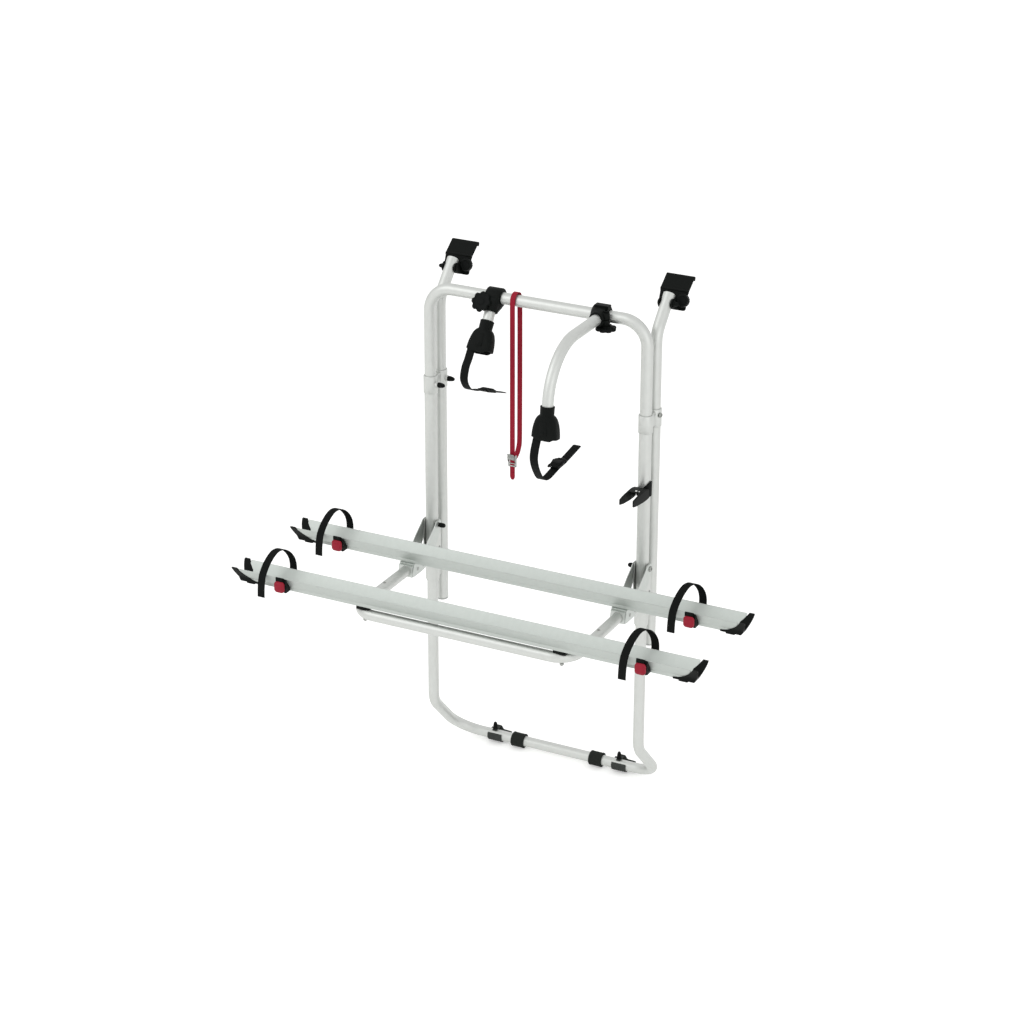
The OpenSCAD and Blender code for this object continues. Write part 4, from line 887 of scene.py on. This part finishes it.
def swing_form():
    """Two pressed cheeks with a web under the rail and a sleeve round the platform's arm."""
    form = Form()
    cheek = eased([(12, 669.4), (-13.4, 669.4), (-23, 660), (-57, 636), (-90, 604),
                   (-94, 597.5), (-135, 597.5), (-146, 571), (-140, 563), (-75, 563),
                   (-20, 603), (10.6, 646)],
                  [11, 9, 8, 12, 6, 1.4, 2, 4, 4, 24, 16, 10])
    for x in (-CHEEK_OUT, CHEEK_OUT - CHEEK_T):
        form.put(slab(cheek, x, x + CHEEK_T), place(0, POST_Y, 0))
    form.put(block((-CHEEK_OUT + CHEEK_T, -297, 594.6), (CHEEK_OUT - CHEEK_T, -257, 597.6)))
    # Sleeve that fills the cheeks' mouth round the platform's arm.
    near, far = -305, -238
    ring = circle(14.2, 40)
    wall = [(max(-19.2, min(19.2, u * 2.2)), max(-14.8, min(16.4, v * 2.2))) for u, v in ring]
    skin = ((wall, near), (wall, far), (ring, far), (ring, near), (wall, near))
    return form.put(loft([[(u, y, ARM_Z + v) for u, v in loop] for loop, y in skin],
                         capped=False))


shape = swing_form()
for end, side in SIDES.items():
    piece(end + "_swing", Form().put(shape, place(side * POST_X, 0, 0)), "platform", PLATE,
          [end + "_swing_bracket"], bevel=0.5)

form = Form()
bolt_head = [(3.9, -0.6), (5, 0), (4.6, 0.9), (3.2, 1.3), (0.6, 1.4)]
for side in (-1, 1):
    for y in SWING_BOLTS_Y:
        form.put(lathe([(3.9, -21), (3.9, 21)], 24),
                 place(side * POST_X, y, ARM_Z) @ spin("Y", 90))
        for way in (-1, 1):
            form.put(lathe(bolt_head, 32), place(side * POST_X + way * CHEEK_OUT, y, ARM_Z)
                     @ spin("Y", 90 * way))
    # Blind rivet in the arm's top.
    form.put(lathe([(1.4, -1), (4, 0), (4, 0.6), (2.6, 1.6), (1.2, 1.7), (0.9, 0.8)], 24),
             place(side * POST_X, -415, ARM_Z + 13.9))
piece("swing_screws", form, "platform", ZINC, ["swing_bolts"], crease=40)

form = Form()
for side in (-1, 1):
    at = place(side * POST_X, POST_Y, PIVOT_Z)
    form.put(lathe([(4.9, -21.6), (4.9, 21.6)], 24), at @ spin("Y", 90))
    form.put(lathe([(7.4, 21.5), (7.6, 22), (7.2, 23.6), (5.6, 25.1), (3.4, 25.6), (3.2, 23.6),
                    (0.8, 23.6)], 32), at @ spin("Y", 90 * side))
    # Pan-head screw low in the bracket's side.
    form.put(lathe([(1.4, -1), (4.4, 0), (4.6, 0.5), (3.4, 2), (1.6, 2.4), (1.2, 1.2)], 24),
             place(side * POST_X + 17.2, -154, 590) @ spin("Y", 90))
piece("hinge_bolts", form, "posts", ZINC, ["pivot_bolts"], crease=40)

shape = lathe([(5.4, 21.8), (5.8, 22.4), (6.3, 24), (6.5, 27), (6.4, 31), (5.7, 35), (4.4, 37.6),
               (2.4, 39)], 48, fluted(8, 0.06, 23, 36))
for end, side in SIDES.items():
    at = place(side * POST_X, POST_Y, PIVOT_Z) @ spin("Y", -90 * side)
    piece(end + "_hinge_screw", Form().put(shape, at), end + "_hinge_knob", KNOB,
          [end + "_pivot_knob"], crease=35)

# Post brackets: a double sleeve, and cheeks on the front tube that carry the hinge


def tube_pair_outline(radius, neck):
    """The outline round both tubes of a post, drawn in at its waist."""
    turn = math.degrees(math.asin(neck / radius))
    return (circle(radius, 40, 90 + turn, 450 - turn)
            + circle(radius, 40, turn - 90, 270 - turn, (0, REAR_STEP)))


def post_bracket_form():
    """A double sleeve with two narrow cheeks up to the hinge bolt."""
    form = Form()
    outer, inner = tube_pair_outline(18, 7.5), tube_pair_outline(16.07, 5.6)
    skin = ((outer, SLEEVE_LOW), (outer, SLEEVE_TOP), (inner, SLEEVE_TOP), (inner, SLEEVE_LOW),
            (outer, SLEEVE_LOW))
    form.put(loft([[(x, y, z) for x, y in loop] for loop, z in skin], capped=False))
    cheek = eased([(-15, SLEEVE_TOP - 12), (15, SLEEVE_TOP - 12), (15, 622), (13, PIVOT_Z),
                   (11, PIVOT_Z + 13), (-11, PIVOT_Z + 13), (-13, PIVOT_Z), (-15, 622)],
                  [3, 3, 20, 12, 9, 9, 12, 20])
    for low in (-18, 16.1):
        form.put(slab(cheek, low, low + 1.9))
    return form


shape = post_bracket_form()
for end, side in SIDES.items():
    piece(end + "_hinge_bracket", Form().put(shape, place(side * POST_X, POST_Y, 0)), "posts",
          TUBE, [end + "_post_bracket"], bevel=0.4, crease=40)

# Fold clip on the right post

CLIP_Z = 858
CLIP_R, CLIP_IN = 19.4, 16.4


def clip_form():
    """A split ring round the post, and a shell with two walls that holds the folded tube."""
    form = Form()
    # The ring is open behind and low at the left, with a horn at the right.
    rings = []
    for k in range(37):
        a = math.radians(-225 + 7.5 * k)
        rise = (0.5 + 0.5 * math.cos(a)) ** 2
        high, low = 13 + 23 * rise, -3.6
        rings.append([(r * math.cos(a), r * math.sin(a), z) for r, z in
                      ((16.15, low), (CLIP_R, low), (CLIP_R, high - 1), (18.6, high),
                       (17, high), (16.15, high - 1))])
    form.put(loft(rings))
    # The shell's walls, as (y, top, foot).
    shell = ((-12, 19.4, -3.8), (-19, 22.4, -4.2), (-32, 25.4, -4.2), (-45, 26.4, -3.6),
             (-61, 26, -1.8), (-79, 25.2, 0.4), (-88, 24.6, 2), (-96, 23.6, 3.8),
             (-105, 22, 6))
    for side in (-1, 1):
        rings = []
        for y, high, low in shell:
            lip = 12 if y > -70 else CLIP_IN
            wall = [(CLIP_R, low), (CLIP_R, high - 4), (18.8, high - 1.6), (17.8, high - 0.4),
                    (lip + 0.8, high), (lip, high), (lip, high - 2.6), (lip, high - 2.8),
                    (CLIP_IN, high - 4.6), (CLIP_IN, low)]
            rings.append([(side * x, y, z) for x, z in wall[::side]])
        form.put(loft(rings))
    # The roof stops short of the platform's tube, which folds up between the walls.
    return form.put(loft([[(12.2, y, high), (-12.2, y, high), (-12.2, y, high - 2.6),
                           (12.2, y, high - 2.6)] for y, high, low in shell[:5]]))


at = place(POST_X, POST_Y, CLIP_Z)
piece("claw_clip", Form().put(clip_form(), at), "posts", BLACK, ["fold_clip"],
      bevel=0.4, crease=40)

form = Form()
for x, y, radius in ((3, -54, 3.2), (10.6, -53, 2)):
    form.put(lathe(circle(radius, 6, -40, 80), 24), at @ place(x, y, 26.4))
piece("clip_rivets", form, "posts", TUBE, crease=40)

# Lower hooks, their knobs and the bar's sleeves

BAR_Y = -24
HOOK_X, SLEEVE_X = 185, 116


def hook_form():
    """A strip bent under the bar from a wall plate, with a ribbed lip and a strap on top."""
    form = Form()
    inner, outer = 14.35, 17.2
    under = circle(outer, 21, 270, 144) + circle(inner, 21, 144, 270)
    form.put(slab(eased([(20.6, -outer)] + under + [(20.6, -inner)], 0.8, 2), -16, 25))
    plate = eased([(-23, -20.4), (39, -20.4), (39, 6.6), (14, 7.4), (8, 17.4), (-8, 17.4),
                   (-14, 7.4), (-23, 7.4)], [4, 4, 3, 3, 3, 3, 3, 4])
    form.put(loft([[(u, v, w) for u, w in plate] for v in (20.8, 23.6)]))
    # Strap over the bar that carries the screw.
    strap = circle(16.9, 9, 118, 64) + [(21, 15.4), (21, 13)] + circle(14.4, 9, 64, 118)
    form.put(slab(eased(strap, 0.8, 2), -6, 6))
    # Ribs of the lip's front.
    ridge = circle(17.8, 13, 234, 156) + circle(16.9, 13, 156, 234)
    for k in range(-3, 4):
        form.put(slab(ridge, 5.6 * k + 3.4, 5.6 * k + 5.6))
    # Wall screw.
    form.put(lathe([(1.6, -1), (4.6, -0.6), (4.8, 0.6), (3.4, 2), (1.6, 2.2)], 24),
             place(31, 20.6, -6) @ spin("X", 90))
    return form


hook = hook_form()
knob = lathe([(3, 14.2), (3, 17.2), (6.4, 17.2), (7, 18), (7, 20), (6.2, 22), (6, 25), (5.4, 29),
              (4.6, 33), (3.4, 36), (1.6, 37)], 48, fluted(8, 0.08, 21, 34))
for end, side in SIDES.items():
    at = place(side * HOOK_X, BAR_Y, 0)
    piece(end + "_wall_grip", Form().put(hook, at), end + "_wall_hook", GREY,
          [end + "_lower_hook"], bevel=0.6, crease=40)
    piece(end + "_wall_screw", Form().put(knob, at), end + "_wall_knob", KNOB,
          [end + "_lower_knob"], crease=35)

half = [(19.2, 12), (19.4, 13.6), (20, 15.6), (19.6, 17.2), (18.4, 18), (14.15, 18)]
loop = [(radius, -z) for radius, z in reversed(half)] + half
form = Form()
for side in (-1, 1):
    form.put(lathe_loop(loop, 72), place(side * SLEEVE_X + 4, BAR_Y, 0) @ spin("Y", 90))
piece("rubber_sleeves", form, "lower_frame", RUBBER, ["bar_sleeves"],
      crease=40)

# Safety strap and its buckle

SAFETY_X = -57.5
WEB_W, WEB_T = 14, 1.7


def safety_line():
    """The webbing's line over the top bar, from its tail up and over to the buckle."""
    run = [(0, -16.6, -474), (0, -16.8, -452), (0, -17, -430), (0, -17.4, -380),
           (0, -18, -200), (0, -18.6, -60), (0, -18.8, -12)]
    run += [(0, 0.8 + 19.6 * math.cos(math.radians(a)), 20.4 * math.sin(math.radians(a)))
            for a in range(165, 14, -15)]
    run += [(0, 21.4, -14), (0, 22.4, -60), (0, 23, -200), (0, 23, -330), (0, 22.6, -376),
            (0, 20, -394), (0, 12, -408), (0, 1, -417), (0, -9, -422), (0, -13.6, -430)]
    return along(smooth(run, 4), 3)


def webbing_section(step):
    """The webbing's section, rounded off over its first steps."""
    half, t = WEB_W / 2 * math.sin(math.radians(min(90, 24 + 22 * step))), WEB_T / 2
    return [(half - 0.5, -t), (half, 0), (half - 0.5, t), (0.5 - half, t), (-half, 0),
            (0.5 - half, -t)]


at = place(SAFETY_X, POST_Y, TOP_Z)
form = Form().put(sweep(safety_line(), webbing_section), at)
piece("safety_loop", form, "top_frame", WEB, ["safety_strap"], crease=40)

form = Form()
for x in (-5, 5):
    for z in range(-452, -440, 4):
        form.put(block((x - 0.5, -18.1, z), (x + 0.5, -16.8, z + 2.6)), at)
for x in range(-5, 6, 2):
    for z in (-454, -438):
        form.put(block((x - 0.8, -18.1, z - 0.5), (x + 0.8, -16.8, z + 0.5)), at)
piece("safety_seams", form, "top_frame", THREAD, crease=40)


def cross_rod(radius, half, y, z, sides):
    """A rod along X with softened ends, for the buckle's bars and pin."""
    ends = [(radius - 0.4, half), (radius, half - 0.4)]
    rod = lathe([(r, -x) for r, x in ends] + [(r, x) for r, x in reversed(ends)], sides)
    return Form().put(rod, place(0, y, z) @ spin("Y", 90))


# Open frame: two side walls, two bars at its foot and the cam with its lever above.
form = Form()
for x in (-11, 9):
    form.put(slab([(-2, 0.6), (2, 0), (2, 32), (-6, 32), (-7.4, 28), (-6, 16), (-2.6, 13)],
                  x, x + 2))
for z, radius in ((2.4, 2.2), (9.4, 1.5)):
    form.put(cross_rod(radius, 10, -1.6, z, 24))
form.put(lathe([(4, -9), (4.6, -8.6), (4.6, 8.6), (4, 9)], 32),
         place(0, -4.4, 24) @ spin("Y", 90))
form.put(slab([(-8.4, 23), (-9.4, 30), (-14, 37), (-12.4, 37.8), (-7, 31.4), (-5, 24)],
              -8.6, 8.6))
form.put(cross_rod(2, 12.2, -4.4, 24, 20))
piece("cam_buckle", Form().put(form, place(SAFETY_X, -176.8, TOP_Z - 438.4)), "top_frame", ZINC,
      ["safety_buckle"], bevel=0.4, crease=40)

# Camera, light and floor

VIEW_AZIMUTH = 26.889
VIEW_HEIGHT = 23.584
VIEW_ROLL = 0.1245
VIEW_PLACE = (2864.54, -5941.18, 3564.01)

camera_data = bpy.data.cameras.new("camera")
camera_data.lens = 97.38
camera_data.sensor_width = 36
camera_data.sensor_fit = "HORIZONTAL"
camera_data.clip_end = 60
camera = bpy.data.objects.new("camera", camera_data)
bpy.context.collection.objects.link(camera)
azimuth, height = math.radians(VIEW_AZIMUTH), math.radians(VIEW_HEIGHT)
forward = Vector((-math.sin(azimuth) * math.cos(height), math.cos(azimuth) * math.cos(height),
                  -math.sin(height)))
flat_right = Vector((math.cos(azimuth), math.sin(azimuth), 0))
flat_up = flat_right.cross(forward)
roll = math.radians(VIEW_ROLL)
right = flat_right * math.cos(roll) + flat_up * math.sin(roll)
up = flat_up * math.cos(roll) - flat_right * math.sin(roll)
turn = Matrix((right, up, -forward)).transposed().to_4x4()
camera.matrix_world = Matrix.Translation(Vector(VIEW_PLACE) * MM) @ turn
bpy.context.scene.camera = camera


def looked_at(tree):
    """1 for camera, glossy and transmission rays, and 0 for the rays that only light."""
    path = add(tree, "ShaderNodeLightPath").outputs
    clear = add(tree, "ShaderNodeMath", {0: path["Is Camera Ray"],
                                         1: path["Is Transmission Ray"]}, operation="MAXIMUM")
    both = add(tree, "ShaderNodeMath", {0: clear.outputs[0], 1: path["Is Glossy Ray"]},
               operation="MAXIMUM")
    return both.outputs[0]


def floor_look(tree):
    """Near-white, lifted to the white of the backdrop where it is seen; shadows stay."""
    lift = add(tree, "ShaderNodeMath", {0: looked_at(tree), 1: 0.36}, operation="MULTIPLY")
    return {"Base Color": linear("fbfbfa"), "Roughness": 0.9, "Specular IOR Level": 0.1,
            "Emission Color": linear("ffffff"), "Emission Strength": lift.outputs[0]}


world = bpy.data.worlds.new("studio")
bpy.context.scene.world = world
world.use_nodes = True
tree = world.node_tree
tree.nodes.clear()
lighting = add(tree, "ShaderNodeBackground", {"Color": linear("ffffff"), "Strength": 0.75})
seen = add(tree, "ShaderNodeBackground", {"Color": linear("ffffff"), "Strength": 1.0})
mixed = add(tree, "ShaderNodeMixShader", {0: looked_at(tree), 1: lighting.outputs[0],
                                          2: seen.outputs[0]})
add(tree, "ShaderNodeOutputWorld", {"Surface": mixed.outputs[0]})


def lamp(name, spot, aim, size, power):
    """A square soft box that shines from spot at aim."""
    data = bpy.data.lights.new(name, "AREA")
    data.shape = "SQUARE"
    data.size = size
    data.energy = power
    made = bpy.data.objects.new(name, data)
    bpy.context.collection.objects.link(made)
    made.location = spot
    made.rotation_euler = (Vector(aim) - Vector(spot)).to_track_quat("-Z", "Y").to_euler()


lamp("key", (-3.2, -4.0, 5.0), (0, -0.2, 0.7), 4.0, 85)
lamp("fill", (4.5, -3.0, 2.5), (0, -0.2, 0.7), 3.0, 35)

floor_finish = finish_of("pale_floor", floor_look)
floor_mesh = bpy.data.meshes.new("floor")
FLOOR_HALF = 14
floor_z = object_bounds()[0][2] - 0.001
floor_mesh.from_pydata([(-FLOOR_HALF, -FLOOR_HALF, floor_z), (FLOOR_HALF, -FLOOR_HALF, floor_z),
                        (FLOOR_HALF, FLOOR_HALF, floor_z), (-FLOOR_HALF, FLOOR_HALF, floor_z)],
                       [], [(0, 1, 2, 3)])
floor = bpy.data.objects.new("floor", floor_mesh)
floor.data.materials.append(floor_finish)
bpy.context.collection.objects.link(floor)
floor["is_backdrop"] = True

bpy.context.scene.view_settings.view_transform = "Standard"

made_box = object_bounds()
({"cad": [list(corner) for corner in cad_box],
           "visual": [list(corner) for corner in made_box]})
